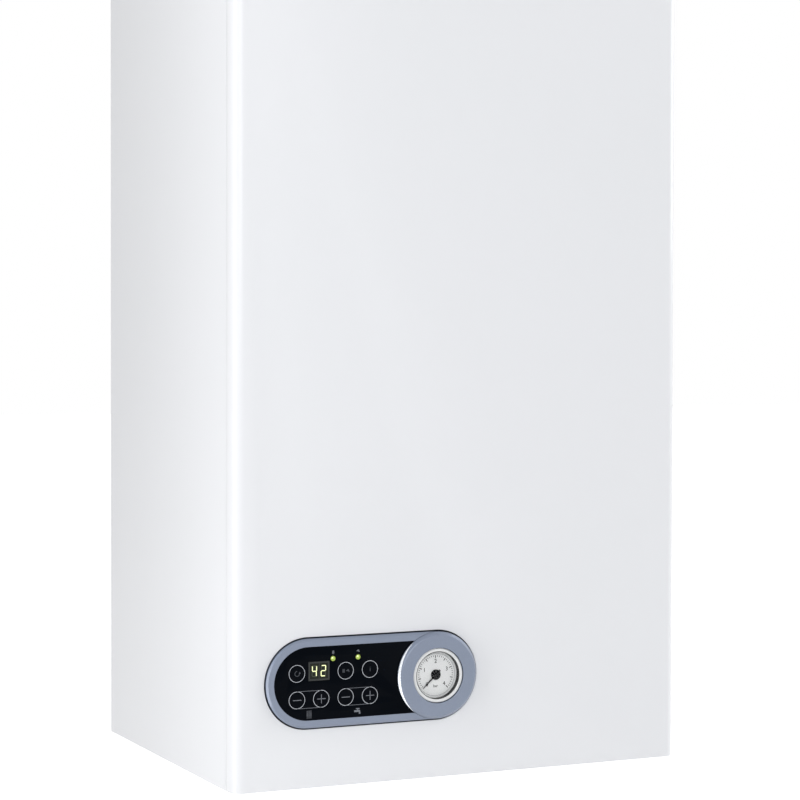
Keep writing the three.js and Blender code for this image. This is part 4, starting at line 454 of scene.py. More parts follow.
class Finish:
    """One material and the nodes in it."""

    def __init__(self, name, **constants):
        self.material = bpy.data.materials.new(name)
        self.material.use_nodes = True
        self.tree = self.material.node_tree
        self.shader = self.tree.nodes["Principled BSDF"]
        for socket, value in constants.items():
            self.shader.inputs[socket.replace("_", " ")].default_value = value
        self.place = self.node("TexCoord", output="Object")

    def node(self, kind, inputs=None, output=0, stops=None, **settings):
        """Adds a node: first its settings, then the values or links of its sockets."""
        made = self.tree.nodes.new("ShaderNode" + kind)
        for name, value in settings.items():
            setattr(made, name, value)
        for number, (share, colour) in enumerate(stops or ()):
            elements = made.color_ramp.elements
            stop = elements[number] if number < ready_stops else elements.new(share)
            stop.position = share
            stop.color = colour
        for name, value in (inputs or {}).items():
            if isinstance(value, Wire):
                self.tree.links.new(value.socket, made.inputs[name])
            else:
                made.inputs[name].default_value = value
        return Wire(self, made.outputs[output])

    def feed(self, socket, wire):
        """Links a wire to the shader."""
        self.tree.links.new(wire.socket, self.shader.inputs[socket])
        return self

    def maximum(self, first, *others):
        """The largest of several wires."""
        for other in others:
            first = first.maths("MAXIMUM", first, other)
        return first

    def noise(self, each_metre, detail=2.0, stretch=None):
        """Soft spots, from 0 to 1, so many to the metre."""
        place = self.place
        if stretch:
            place = self.node("Mapping", {"Vector": self.place, "Scale": stretch})
        return self.node("TexNoise", {"Vector": place, "Scale": each_metre, "Detail": detail})

    def cells(self, each_metre, output="Color"):
        """Flat cells, as crystals lie side by side."""
        return self.node("TexVoronoi", {"Vector": self.place, "Scale": each_metre}, output=output)

    def colour(self, share, low, high):
        """A colour between two, at a share that varies."""
        inputs = {mix_share: share, mix_first: low, mix_second: high}
        return self.node("Mix", inputs, output=mix_result, data_type="RGBA")

    def ramp(self, share, *stops):
        """A colour from several, by where a share lies among them."""
        return self.node("ValToRGB", {0: share}, stops=stops)

    def roughen(self, share, least, span):
        """A roughness that rises from its least value as the share does."""
        return self.feed("Roughness", share * span + least)

    def bump(self, height, depth, strength):
        """Small hills in the surface, of a real height in metres."""
        hills = self.node("Bump", {"Height": height, "Distance": depth, "Strength": strength})
        return self.feed("Normal", hills)


print("a new ramp has", ready_stops, "stops")

# %% Colours
screen_steps = 255
dark_knee = 0.04045
dark_slope = 12.92
curve_lift = 0.055
curve_power = 2.4


def rgb(red, green, blue):
    """A colour as a picture gives it, turned into light by the usual curve of a screen."""
    def light(value):
        share = value / screen_steps
        if share <= dark_knee:
            return share / dark_slope
        return ((share + curve_lift) / (1 + curve_lift)) ** curve_power
    return (light(red), light(green), light(blue), 1.0)


print("white is", rgb(255, 255, 255))

# %% [markdown]
# ## Finishes of metal and plastic
# Two kinds cover most of a boiler. Bare metal has a colour that wanders a little, and a roughness with a
# grain. Moulded plastic has a fine grain that was in the mould. Each gets its own function, and each
# named finish below only says what is special about it.

# %% Metal and plastic
streak_share = 0.45
cloud_share = 0.55
rough_span = 0.14
bump_strength = 0.5
finishes = {}


def metal(name, colour, other, rough, grain, stretch=None, height=0.00001, wander=9.0):
    """Bare metal: a colour that wanders, and a grain that is long where stretch says so."""
    finish = Finish(name, Metallic=1.0)
    streaks = finish.noise(each_metre=grain, detail=3.0, stretch=stretch)
    clouds = finish.noise(each_metre=wander, detail=3.0)
    share = streaks * streak_share + clouds * cloud_share
    finish.feed("Base Color", finish.colour(share, colour, other))
    finish.roughen(share, least=rough - rough_span / 2, span=rough_span)
    return finish.bump(streaks, depth=height, strength=bump_strength)


def plastic(name, colour, other, rough, grain=2600.0, height=0.000012, wander=14.0, **constants):
    """Moulded plastic: nearly one colour, with the grain of its mould."""
    finish = Finish(name, **constants)
    grains = finish.noise(each_metre=grain)
    clouds = finish.noise(each_metre=wander, detail=3.0)
    share = grains * cloud_share + clouds * streak_share
    finish.feed("Base Color", finish.colour(share, colour, other))
    finish.roughen(share, least=rough - rough_span / 2, span=rough_span)
    return finish.bump(grains, depth=height, strength=bump_strength)


print("roughness wanders by", rough_span)

# %% [markdown]
# ## Powder paint
# The casing is steel sheet with white powder paint. Baked powder flows out not quite flat: close up it
# has the skin of an orange, with hills a millimetre apart and a few hundredths high. A flat white would
# look like paper. Noise gives both the hills and a hardly visible wander in the white.

# %% White paint
def white_paint():
    finish = Finish("white_paint", Coat_Weight=0.35, Coat_Roughness=0.12, Specular_IOR_Level=0.45)
    skin = finish.noise(each_metre=1100.0)
    clouds = finish.noise(each_metre=4.0, detail=3.0)
    finish.feed("Base Color", finish.colour(clouds, rgb(236, 238, 241), rgb(240, 241, 245)))
    finish.roughen(skin, least=0.3, span=rough_span)
    return finish.bump(skin, depth=0.00003, strength=0.35)


finishes["white_paint"] = white_paint()
print("first finish:", list(finishes))

# %% [markdown]
# ## Zinc, aluminium coat and rolled steel
# The frame and the air box are galvanised: the zinc froze into flat crystals, a centimetre or so across,
# each with its own shade of grey. Voronoi cells look just like that. The hot pieces are steel with an
# aluminium coat, which has fine rolling lines and is browner where it is hottest.

# %% Galvanised, aluminised and stainless steel
def galvanised_steel():
    shade_share = 0.6
    finish = Finish("galvanised_steel", Metallic=1.0)
    crystal = finish.cells(each_metre=120.0)
    shade = finish.node("SeparateColor", {"Color": crystal}, output=0)
    clouds = finish.noise(each_metre=11.0, detail=4.0)
    share = shade * shade_share + clouds * (1 - shade_share)
    finish.feed("Base Color", finish.colour(share, rgb(150, 155, 160), rgb(196, 201, 206)))
    finish.roughen(shade, least=0.36, span=0.16)
    return finish.bump(finish.noise(each_metre=400.0), depth=0.00002, strength=0.4)


def aluminised_steel():
    heat_start = 0.5
    heat_gain = 1.6
    rolled = (1.0, 1.0, 24.0)
    finish = Finish("aluminised_steel", Metallic=1.0)
    lines = finish.noise(each_metre=60.0, detail=3.0, stretch=rolled)
    heat = finish.noise(each_metre=7.0, detail=3.0)
    cool = finish.colour(lines, rgb(163, 163, 162), rgb(188, 188, 186))
    hot = (heat - heat_start) * heat_gain
    finish.feed("Base Color", finish.colour(hot, cool, rgb(160, 148, 132)))
    finish.roughen(lines, least=0.32, span=0.18)
    return finish.bump(lines, depth=0.00001, strength=0.4)


finishes["galvanised_steel"] = galvanised_steel()
finishes["aluminised_steel"] = aluminised_steel()
finishes["stainless_steel"] = metal("stainless_steel", rgb(178, 180, 183), rgb(205, 206, 208), rough=0.3,
                                    grain=90.0, stretch=(1.0, 1.0, 20.0))
print("finishes so far:", len(finishes))

# %% [markdown]
# ## Copper, brass and cast aluminium
# Pipes and the heat exchanger are copper that has darkened where hands and heat touched it. Fittings are
# brass, turned and then cleaned. The gas valve is die-cast, with a fine pimpled skin.

# %% Copper, brass and castings
def copper():
    stained = (0.25, rgb(150, 84, 58))
    plain = (0.55, rgb(200, 122, 86))
    bright = (0.8, rgb(214, 142, 108))
    finish = Finish("copper", Metallic=1.0)
    stain = finish.noise(each_metre=26.0, detail=5.0)
    fine = finish.noise(each_metre=420.0)
    finish.feed("Base Color", finish.ramp(stain, stained, plain, bright))
    finish.roughen(stain, least=0.2, span=0.25)
    return finish.bump(fine, depth=0.00001, strength=0.35)


def cast_aluminium():
    finish = Finish("cast_aluminium", Metallic=1.0)
    pimples = finish.noise(each_metre=900.0, detail=3.0)
    clouds = finish.noise(each_metre=30.0, detail=4.0)
    finish.feed("Base Color", finish.colour(clouds, rgb(150, 152, 155), rgb(184, 186, 188)))
    finish.roughen(clouds, least=0.4, span=0.2)
    return finish.bump(pimples, depth=0.00006, strength=0.5)


finishes["copper"] = copper()
finishes["cast_aluminium"] = cast_aluminium()
finishes["brass"] = metal("brass", rgb(176, 142, 84), rgb(206, 174, 112), rough=0.32, grain=300.0)
print("finishes so far:", len(finishes))

# %% [markdown]
# ## Painted and moulded pieces
# The bezel is plastic with a silver lacquer: under the clear top lie metal flakes. The window is glossy
# black, and the keys in it are the same. Grey and white plastics are duller. Red paint marks the pressure
# vessel, and dark paint the motors.

# %% Silver lacquer and paints
def silver_plastic():
    flake_share = 0.5
    finish = Finish("silver_plastic", Metallic=0.45, Coat_Weight=1.0, Coat_Roughness=0.09)
    flake = finish.node("SeparateColor", {"Color": finish.cells(each_metre=5200.0)}, output=0)
    clouds = finish.noise(each_metre=18.0)
    share = flake * flake_share + clouds * (1 - flake_share)
    finish.feed("Base Color", finish.colour(share, rgb(104, 115, 136), rgb(126, 137, 157)))
    finish.roughen(flake, least=0.34, span=0.14)
    return finish.bump(flake, depth=0.000004, strength=0.3)


def polished_lacquer():
    """A bright lacquer that is a painted highlight: it stands for the light on the left of the disc's
    chamfer, with a hair-fine turning grain.
    """
    finish = Finish("polished_lacquer", Metallic=1.0, Coat_Weight=0.6, Coat_Roughness=0.05)
    hairs = finish.noise(each_metre=1500.0)
    finish.feed("Base Color", finish.colour(hairs, rgb(222, 226, 232), rgb(240, 243, 247)))
    finish.roughen(hairs, least=0.16, span=0.08)
    return finish.bump(hairs, depth=0.000002, strength=0.3)


def painted(name, colour, other, rough):
    """Paint that was sprayed: a fine skin and a slow wander."""
    finish = Finish(name, Coat_Weight=0.25, Coat_Roughness=0.15)
    skin = finish.noise(each_metre=800.0)
    clouds = finish.noise(each_metre=8.0, detail=4.0)
    finish.feed("Base Color", finish.colour(clouds, colour, other))
    finish.roughen(skin, least=rough, span=rough_span)
    return finish.bump(skin, depth=0.00003, strength=0.4)


finishes["silver_plastic"] = silver_plastic()
# A bright lacquer used as a painted highlight, only on the left of the gauge disc's chamfer.
highlight_finish = polished_lacquer()
finishes["red_paint"] = painted("red_paint", rgb(150, 24, 22), rgb(172, 34, 28), rough=0.3)
finishes["dark_paint"] = painted("dark_paint", rgb(34, 36, 40), rgb(48, 50, 55), rough=0.4)
print("finishes so far:", len(finishes))

# %% Plastics
gloss = {"rough": 0.12, "grain": 90.0, "height": 0.000002}
finishes["black_gloss"] = plastic("black_gloss", rgb(1, 4, 10), rgb(2, 6, 14), Specular_IOR_Level=0.035,
                                  **gloss)
finishes["black_plastic"] = plastic("black_plastic", rgb(20, 21, 24), rgb(30, 31, 34), rough=0.45)
finishes["grey_plastic"] = plastic("grey_plastic", rgb(78, 82, 86), rgb(92, 96, 100), rough=0.5)
finishes["white_plastic"] = plastic("white_plastic", rgb(228, 230, 230), rgb(238, 239, 240), rough=0.35)
finishes["red_plastic"] = plastic("red_plastic", rgb(176, 30, 26), rgb(196, 40, 32), rough=0.4)
finishes["blue_plastic"] = plastic("blue_plastic", rgb(28, 70, 150), rgb(36, 84, 168), rough=0.4)
finishes["silicone_hose"] = plastic("silicone_hose", rgb(206, 200, 190), rgb(218, 214, 205), rough=0.55,
                                    grain=1500.0)
print("finishes so far:", len(finishes))

# %% [markdown]
# ## Glass, lamps, fibre and the circuit board
# Clear glass shows mostly what is behind it, and mirrors more at a flat angle: Fresnel drives how solid
# it is. The lamps are lit, so they give light of their own. Ceramic fibre is a felt of white threads. The
# board is green lacquer over copper tracks, and a grid of cells gives the tracks.

# %% Glass and lamps
def clear_glass():
    mirror_share = 0.28
    dust_share = 0.003
    finish = Finish("clear_glass", Metallic=1.0, Roughness=0.03)
    dust = finish.noise(each_metre=60.0, detail=4.0)
    finish.feed("Base Color", finish.colour(dust, rgb(240, 243, 246), rgb(252, 253, 254)))
    mirror = finish.node("Fresnel", {"IOR": 1.35})
    finish.feed("Alpha", mirror * mirror_share + dust * dust_share)
    finish.material.surface_render_method = "BLENDED"
    return finish


def lit(name, low, high, strength):
    """A piece that glows, in spots a little brighter."""
    finish = Finish(name, Emission_Strength=strength, Roughness=0.25)
    glow = finish.noise(each_metre=700.0)
    finish.feed("Base Color", finish.colour(glow, low, high))
    return finish.feed("Emission Color", finish.colour(glow, low, high))


finishes["clear_glass"] = clear_glass()
finishes["green_lamp"] = lit("green_lamp", rgb(122, 146, 52), rgb(168, 186, 88), strength=0.4)
digit_finish = lit("lit_digits", rgb(214, 222, 158), rgb(238, 242, 196), strength=0.75)
core_finish = lit("lamp_core", rgb(232, 240, 170), rgb(248, 250, 212), strength=0.8)
spent_finish = plastic("unlit_segment", rgb(34, 44, 22), rgb(42, 52, 28), rough=0.3)
cell_finish = plastic("display_cell", rgb(14, 20, 10), rgb(20, 27, 14), Specular_IOR_Level=0.2, **gloss)
print("finishes so far:", len(finishes))

# %% Fibre and circuit board
def ceramic_fibre():
    thread_share = 0.6
    thread = (1.0, 1.0, 3.0)
    finish = Finish("ceramic_fibre", Sheen_Weight=0.3)
    threads = finish.noise(each_metre=500.0, detail=6.0, stretch=thread)
    clouds = finish.noise(each_metre=24.0, detail=3.0)
    share = threads * thread_share + clouds * (1 - thread_share)
    finish.feed("Base Color", finish.colour(share, rgb(206, 200, 188), rgb(236, 232, 224)))
    finish.roughen(clouds, least=0.85, span=0.1)
    return finish.bump(threads, depth=0.0003, strength=0.7)


def circuit_board():
    track_half = 0.3
    finish = Finish("circuit_board", Coat_Weight=0.4, Coat_Roughness=0.1)
    edge = finish.node("TexVoronoi", {"Vector": finish.place, "Scale": 300.0}, output="Distance",
                       feature="F1", distance="CHEBYCHEV")
    track = edge < track_half
    finish.feed("Base Color", finish.colour(track, rgb(20, 82, 48), rgb(40, 116, 66)))
    finish.roughen(finish.noise(each_metre=90.0), least=0.3, span=0.2)
    return finish.bump(track, depth=0.00003, strength=0.5)


finishes["ceramic_fibre"] = ceramic_fibre()
finishes["circuit_board"] = circuit_board()
print("finishes:", sorted(finishes))

# %% [markdown]
# ## Inks
# The panel's signs are printed. Ink lies a few hundredths of a millimetre high and is a little duller
# than what it lies on. A picture of the print would be quicker, but printed shapes stay sharp at any
# distance.

# %% Inks
ink_height = 0.00006
dull = {"Specular_IOR_Level": 0.2}
pale_ink = plastic("pale_ink", rgb(176, 181, 190), rgb(206, 210, 216), rough=0.3)
grey_ink = plastic("grey_ink", rgb(104, 108, 116), rgb(124, 128, 136), rough=0.4)
faint_ink = plastic("faint_ink", rgb(48, 52, 60), rgb(62, 66, 74), rough=0.4)
needle_finish = plastic("needle_black", rgb(4, 5, 8), rgb(9, 10, 14), rough=0.5, Specular_IOR_Level=0.05)
dial_finish = plastic("dial_white", rgb(242, 244, 244), rgb(248, 249, 250), rough=0.4)
black_ink = plastic("black_ink", rgb(8, 10, 16), rgb(18, 20, 26), rough=0.5, **dull)
frame_finish = plastic("display_frame", rgb(52, 54, 54), rgb(64, 66, 65), rough=0.4, **dull)
zinc_screw = metal("zinc_screw", rgb(170, 172, 172), rgb(206, 206, 200), rough=0.3, grain=700.0)
print("ink lies", ink_height, "high")

# %% [markdown]
# ## From a shape to a piece
# A shape is a piece of the boiler once it has a finish and hangs on the body that carries it. Then it moves
# with that body in every pose. This could be done at the end in one long list. Doing it where each shape is
# made keeps the two together, and one helper makes sure that nothing is forgotten.

# %% Dressing a piece
def dress(piece, body, slot, finish=None, instead=()):
    """Gives a piece its finish, and ties it to the body that carries it."""
    settle(piece)
    piece.data.materials.clear()
    piece.data.materials.append((finish or finishes[slot]).material)
    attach(piece, body)
    if instead:
        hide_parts(*instead)
    return piece


# %% [markdown]
# ## The front cover
# The real cover is one sheet, pressed and folded into a shallow tray, with round upright corners and a
# cut-out for the panel. Folding it flap by flap would leave open corners. So it starts as a block without
# its back, its edges are rounded, the lip is extruded inwards, and the wall gets its thickness last.

# %% Front cover
cover_low, cover_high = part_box("front_cover")
bezel_low, bezel_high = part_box("bezel")
sheet = 0.0012
corner_radius = 0.0087
corner_steps = 12
fold_radius = 0.0014
fold_steps = 4
lip = 0.006
reveal = 0.0012
edge_ease = 0.0003
near = 0.00005
mostly = 0.5


def at_back(corner):
    return corner[1] > cover_high[1] - near


def at_end(corner):
    return min(abs(corner[2] - cover_low[2]), abs(corner[2] - cover_high[2])) < near


def is_front_corner(edge):
    """An upright edge that isn't at the back."""
    return upright(edge) and not at_back(ends(cover, edge)[0])


def is_end_fold(edge):
    """An edge of the upper or lower end, but not one of the open back."""
    return all(at_end(end) for end in ends(cover, edge)) and not is_rim(edge)


def is_rim(edge):
    """An edge of the open back."""
    return all(at_back(end) for end in ends(cover, edge))


cover = block("cover_shell", cover_low, cover_high)
pick(cover, "FACE", lambda face: face.normal[1] > mostly)
bpy.ops.mesh.delete(type="FACE")
upright = runs_along(cover, 2)
round_edges(cover, is_front_corner, corner_radius, corner_steps)
round_edges(cover, is_end_fold, fold_radius, fold_steps)
print("cover pressed, with corners of", corner_radius)

# %% Lip, wall and cut-out of the cover
pick(cover, "EDGE", is_rim)
cover_size = cover_high - cover_low
lip_shares = (1 - 2 * lip / cover_size[0], 1, 1 - 2 * lip / cover_size[2])
cover_middle = (cover_low + cover_high) / 2
bpy.ops.mesh.extrude_region_move(TRANSFORM_OT_translate={"value": (0, 0, 0)})
bpy.ops.transform.resize(value=lip_shares, center_override=cover_middle)
bpy.ops.object.mode_set(mode="OBJECT")
modified(cover, "SOLIDIFY", thickness=sheet, offset=-1, use_even_offset=True)
opening_low = Vector((bezel_low[0] - reveal, cover_low[1] - lip, bezel_low[2] - reveal))
opening_high = Vector((bezel_high[0] + reveal, cover_low[1] + lip, bezel_high[2] + reveal))
cut(cover, stadium("opening", opening_low, opening_high))
soften(cover, edge_ease)
dress(cover, "cover", "white_paint", instead=["front_cover"])
print("cover:", len(cover.data.polygons), "faces")

# %% [markdown]
# ## Pieces that keep the shape of their solid
# Most pieces inside already have the right form, but their edges are knife sharp, and no real edge is. A
# copy of the solid is merged, its flat triangles become whole faces again, and every sharp edge is
# rounded a little. Drawing each anew would give the same shape for more work.

# %% Easing the edges of a solid
flat_angle = math.radians(0.6)


def eased(node, width, slot=None, steps=2, finish=None, angle=sharp_angle):
    """A copy of a solid with rounded edges, which stands for it."""
    copy = copied(solids[node], node + "_eased")
    take(copy)
    bpy.ops.object.mode_set(mode="EDIT")
    bpy.ops.mesh.select_all(action="SELECT")
    bpy.ops.mesh.remove_doubles(threshold=weld)
    bpy.ops.mesh.dissolve_limited(angle_limit=flat_angle)
    bpy.ops.object.mode_set(mode="OBJECT")
    soften(copy, width, steps, angle)
    modified(copy, "WEIGHTED_NORMAL", keep_sharp=True)
    return dress(copy, body_of(solids[node])[0], slot or slot_of(node), finish, instead=[node])


def slot_of(node):
    """The record's slot of a solid, read from the name of its material."""
    return solids[node].material_slots[0].material.name.split(".")[0]


casing_ease = 0.0003
for node in ("left_panel", "right_panel", "top_plate", "bottom_plate", "back_frame", "wall_bracket"):
    eased(node, casing_ease)
print("casing eased by", casing_ease)

# %% [markdown]
# ## The silver bezel
# The bezel is a moulded frame with round ends and a raised band. It could be a curve with a profile swept
# along it. A stadium with a pocket cut into it gives the band, the plate behind the window and the holes
# at once, and the sloping outer edge of the band comes from a bevel.

# %% Bezel
band = 0.0063
plate_out = 0.3084
plate_thickness = 0.003
skirt = 0.0025
band_chamfer = 0.0015
chamfer_steps = 1
band_ease = 0.0003
disc_x = -0.0253
disc_radius = 0.0351
disc_gap = 0.0002
panel_z = (bezel_low[2] + bezel_high[2]) / 2
disc_middle = Vector((disc_x, 0, panel_z))
over = 0.004


def inset(low, high, sides, front_out, back_out):
    """The same outline, narrower all round, between two distances from the wall."""
    return (Vector((low[0] + sides, -front_out, low[2] + sides)),
            Vector((high[0] - sides, -back_out, high[2] - sides)))


def disc(name, middle, radius, front_out, back_out, sides=round_sides):
    """A round plug, as a tool for holes."""
    return turned(name, "out", middle, [(radius, back_out), (radius, front_out)], sides)


def is_at_front(edge):
    """An edge of the bezel's very front."""
    return all(end[1] < bezel_low[1] + near for end in ends(bezel, edge))


bezel = stadium("bezel_frame", bezel_low, bezel_high)
round_edges(bezel, is_at_front, band_chamfer, chamfer_steps)
bezel_front = -bezel_low[1]
bezel_back = -bezel_high[1]
cut(bezel,
    stadium("pocket", *inset(bezel_low, bezel_high, band, bezel_front + over, plate_out)),
    disc("seat", disc_middle, disc_radius + disc_gap, bezel_front + over, plate_out),
    stadium("hollow", *inset(bezel_low, bezel_high, skirt, plate_out - plate_thickness, bezel_back - over)))
print("bezel stands", round(bezel_front, 4), "from the wall")

# %% [markdown]
# ## Holes for the keys, the display and the gauge
# The keys stand in two rows. The centre of each comes from the box of its solid, so that a key, its hole
# and its printed ring can't drift apart.

# %% Holes in the panel
key_names = ("reset", "season", "info", "heating_minus", "heating_plus", "water_minus", "water_plus")
key_radius = 0.0063
key_gap = 0.0004
gauge_hole = 0.0224
lamp_gap = 0.0002


def middle_of(node):
    """The middle of a solid, on the wall plane."""
    low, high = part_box(node)
    return Vector(((low[0] + high[0]) / 2, 0, (low[2] + high[2]) / 2))


def radius_of(node):
    """Half the width of a round solid."""
    low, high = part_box(node)
    return (high[2] - low[2]) / 2


key_middles = {name: middle_of("button_" + name) for name in key_names}
lamp_middles = {name: middle_of(name) for name in ("lamp_heating", "lamp_water")}
display_low, display_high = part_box("display")
lamp_radius = radius_of("lamp_heating")


def panel_holes():
    """All the plugs that pierce the panel, as one tool."""
    front, back = bezel_front + over, plate_out - plate_thickness - over
    plugs = [disc("hole", middle, key_radius + key_gap, front, back) for middle in key_middles.values()]
    plugs += [disc("hole", middle, lamp_radius + lamp_gap, front, back) for middle in lamp_middles.values()]
    low, high = inset(display_low, display_high, -lamp_gap, front, back)
    return joined(plugs + [block("hole", low, high)], "panel_holes")


gauge_plug = disc("gauge_hole", disc_middle, gauge_hole, bezel_front + over, bezel_back - over)
cut(bezel, panel_holes(), gauge_plug)
soften(bezel, band_ease)
dress(bezel, "control_unit", "silver_plastic", instead=["bezel"])
print("bezel:", len(bezel.data.polygons), "faces; keys at", len(key_middles), "places")

# %% [markdown]
# ## The window
# The window is one smooth sheet of black plastic, clipped into the band and cut round at the gauge. It is
# the same stadium, a little smaller, with the same holes, and only its very edge is rounded, because a
# moulded gloss sheet has crisp edges.

# %% Window
window_low, window_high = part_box("window")
window_front = -window_low[1]
window_ease = 0.00025
window_border = bezel_high[2] - window_high[2]
window_full = Vector((bezel_high[0] - window_border, window_high[1], window_high[2]))
window = stadium("window_sheet", window_low, window_full)
cut(window, disc("disc_hole", disc_middle, disc_radius + disc_gap, window_front + over, plate_out - over),
    panel_holes())
soften(window, window_ease)
dress(window, "control_unit", "black_gloss", instead=["window"])
print("window:", len(window.data.polygons), "faces")

# %% [markdown]
# ## The disc round the gauge
# A raised ring with a wide chamfer, in the same silver lacquer. On the left of its chamfer lies a painted
# highlight:
# a bright crescent that stands for the light which the chamfer catches there. The crescent is a thin hoop on
# the chamfer, because one piece can't have two finishes in the record. Both are turned shapes with their
# outlines drawn point by point. A round plug, set a little to the right, takes most of the hoop away and
# leaves a crescent that runs out at both ends.

# %% Disc
disc_low, disc_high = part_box("gauge_ring")
disc_front = -disc_low[1]
disc_back = -disc_high[1]
disc_bore = 0.0223
disc_chamfer = 0.0024
disc_ease = 0.0003
disc_ring = turned("gauge_disc", "out", disc_middle, [
    (disc_bore, disc_back), (disc_radius, disc_back), (disc_radius, disc_front - disc_chamfer),
    (disc_radius - disc_chamfer, disc_front), (disc_bore, disc_front), (disc_bore, disc_back)],
    sides=2 * round_sides, ring=True)
soften(disc_ring, disc_ease)
dress(disc_ring, "control_unit", "silver_plastic", instead=["gauge_ring"])
print("disc stands", round(disc_front, 4), "from the wall")

# %% Painted highlight on the edge of the disc
hoop_stand = 0.00004
hoop_in = 0.0003
hoop_back = disc_front - disc_chamfer + disc_ease / 2
hoop_front = disc_front - disc_ease / 2
hoop_wide = disc_radius - disc_ease / 2 + hoop_stand
hoop_narrow = disc_radius - disc_chamfer + disc_ease / 2 + hoop_stand
# A thin bright hoop on the chamfer: a painted highlight for the light that the left of the chamfer catches.
highlight_hoop = turned("disc_painted_highlight", "out", disc_middle, [
    (hoop_wide - hoop_in, hoop_back), (hoop_wide, hoop_back + hoop_stand),
    (hoop_narrow, hoop_front + hoop_stand), (hoop_narrow - hoop_in, hoop_front),
    (hoop_wide - hoop_in, hoop_back)], sides=2 * round_sides, ring=True)
lip_width = 0.0016
lip_shift = 0.0041
plug_middle = disc_middle + Vector((lip_shift, 0, 0))
plug_radius = disc_radius - lip_width + lip_shift
cut(highlight_hoop, disc("run_out", plug_middle, plug_radius, hoop_front + over, hoop_back - over, 2 * round_sides))
smooth(highlight_hoop)
dress(highlight_hoop, "control_unit", "silver_plastic", highlight_finish)
# The widest part of the painted highlight crescent.
print("polished edge at its widest:", lip_width)

# %% [markdown]
# ## The pressure gauge
# A gauge is a small tin: a case with a rim, a printed dial, a needle on a hub and a glass. The case is
# turned in one outline that goes up the outside, over the rim and down inside, where the dial lies.

# %% Gauge case
case_low, case_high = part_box("gauge_case")
dial_low, dial_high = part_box("gauge_dial")
glass_low, glass_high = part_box("gauge_lens")
case_radius = 0.022
case_back = 0.283
case_front = -case_low[1]
case_stem = 0.004
rim_mouth = 0.0192
rim_round = 0.0007
case_room = 0.0205
glass_front = -glass_low[1]
glass_back = -glass_high[1]
glass_radius = radius_of("gauge_lens")
dial_front = -dial_low[1]
dial_back = -dial_high[1]
fit = 0.0001
case = turned("gauge_tin", "out", disc_middle, [
    (case_stem, -case_high[1]), (case_stem, case_back), (case_radius, case_back),
    (case_radius, case_front - rim_round), (case_radius - rim_round, case_front),
    (rim_mouth + rim_round, case_front), (rim_mouth, case_front - rim_round),
    (rim_mouth, glass_front + fit), (case_room, glass_front + fit), (case_room, dial_back - fit)],
    sides=2 * round_sides)
soften(case, edge_ease)
dress(case, "control_unit", "white_plastic", instead=["gauge_case"])
print("gauge case of", case_radius, "from its middle")

# %% Sizes of the dial
dial_radius = radius_of("gauge_dial")
dial_steps = 40
figures_shown = 5
zero_angle = math.radians(225)
scale_sweep = math.radians(270)
tick_out = 0.0156
short_tick_length = 0.0011
long_tick_length = 0.0024
short_tick_width = 0.00042
long_tick_width = 0.0006
figure_circle = 0.0108
figure_height = 0.0046
word_height = 0.0032
word_drop = 0.0092
outer_circle = 0.0172
circle_width = 0.00022
print_out = dial_front + ink_height


def dial_turn(share):
    """A turn round the middle of the dial, from straight up to this share of the scale."""
    angle = zero_angle - scale_sweep * share
    turn = Matrix.Rotation(quarter - angle, 4, "Y")
    return Matrix.Translation(disc_middle) @ turn @ Matrix.Translation(-disc_middle)


def tick(length, width):
    """One printed tick at the top of the dial."""
    low = disc_middle + Vector((-width / 2, -print_out, tick_out - length))
    high = disc_middle + Vector((width / 2, -dial_front, tick_out))
    return block("tick", low, high)


print("dial of", dial_radius, "with", dial_steps, "steps")

# %% Dial, ticks and figures
dial = turned("dial_plate", "out", disc_middle, [
    (dial_radius, dial_back), (dial_radius, dial_front - fit), (dial_radius - fit, dial_front)])
dress(dial, "control_unit", "white_plastic", dial_finish, ["gauge_dial"])
short_tick = tick(short_tick_length, short_tick_width)
long_tick = tick(long_tick_length, long_tick_width)
half_figure = dial_steps // (figures_shown - 1) // 2
ticks = []
for step in range(dial_steps + 1):
    pattern = short_tick if step % half_figure else long_tick
    ticks.append(copied(pattern, "tick", dial_turn(step / dial_steps)))
for spare in (short_tick, long_tick):
    bpy.data.objects.remove(spare)
figures = []
for number in range(figures_shown):
    angle = zero_angle - scale_sweep * number / (figures_shown - 1)
    spoke = Vector((math.cos(angle) * figure_circle, -print_out, math.sin(angle) * figure_circle))
    figures.append(lettering("figure", str(number), figure_height, disc_middle + spoke, ink_height))
word_place = disc_middle + Vector((0, -print_out, -word_drop))
figures.append(lettering("unit", "bar", word_height, word_place, ink_height))
dial_print = joined(ticks + figures, "dial_print")
dress(dial_print, "control_unit", "black_plastic", black_ink)
dial_line = turned("dial_line", "out", disc_middle, [
    (outer_circle - circle_width, dial_front), (outer_circle, dial_front), (outer_circle, print_out),
    (outer_circle - circle_width, print_out), (outer_circle - circle_width, dial_front)],
    sides=2 * round_sides, ring=True)
dress(dial_line, "control_unit", "black_plastic", grey_ink)
print("dial:", len(ticks), "ticks and", len(figures), "words")

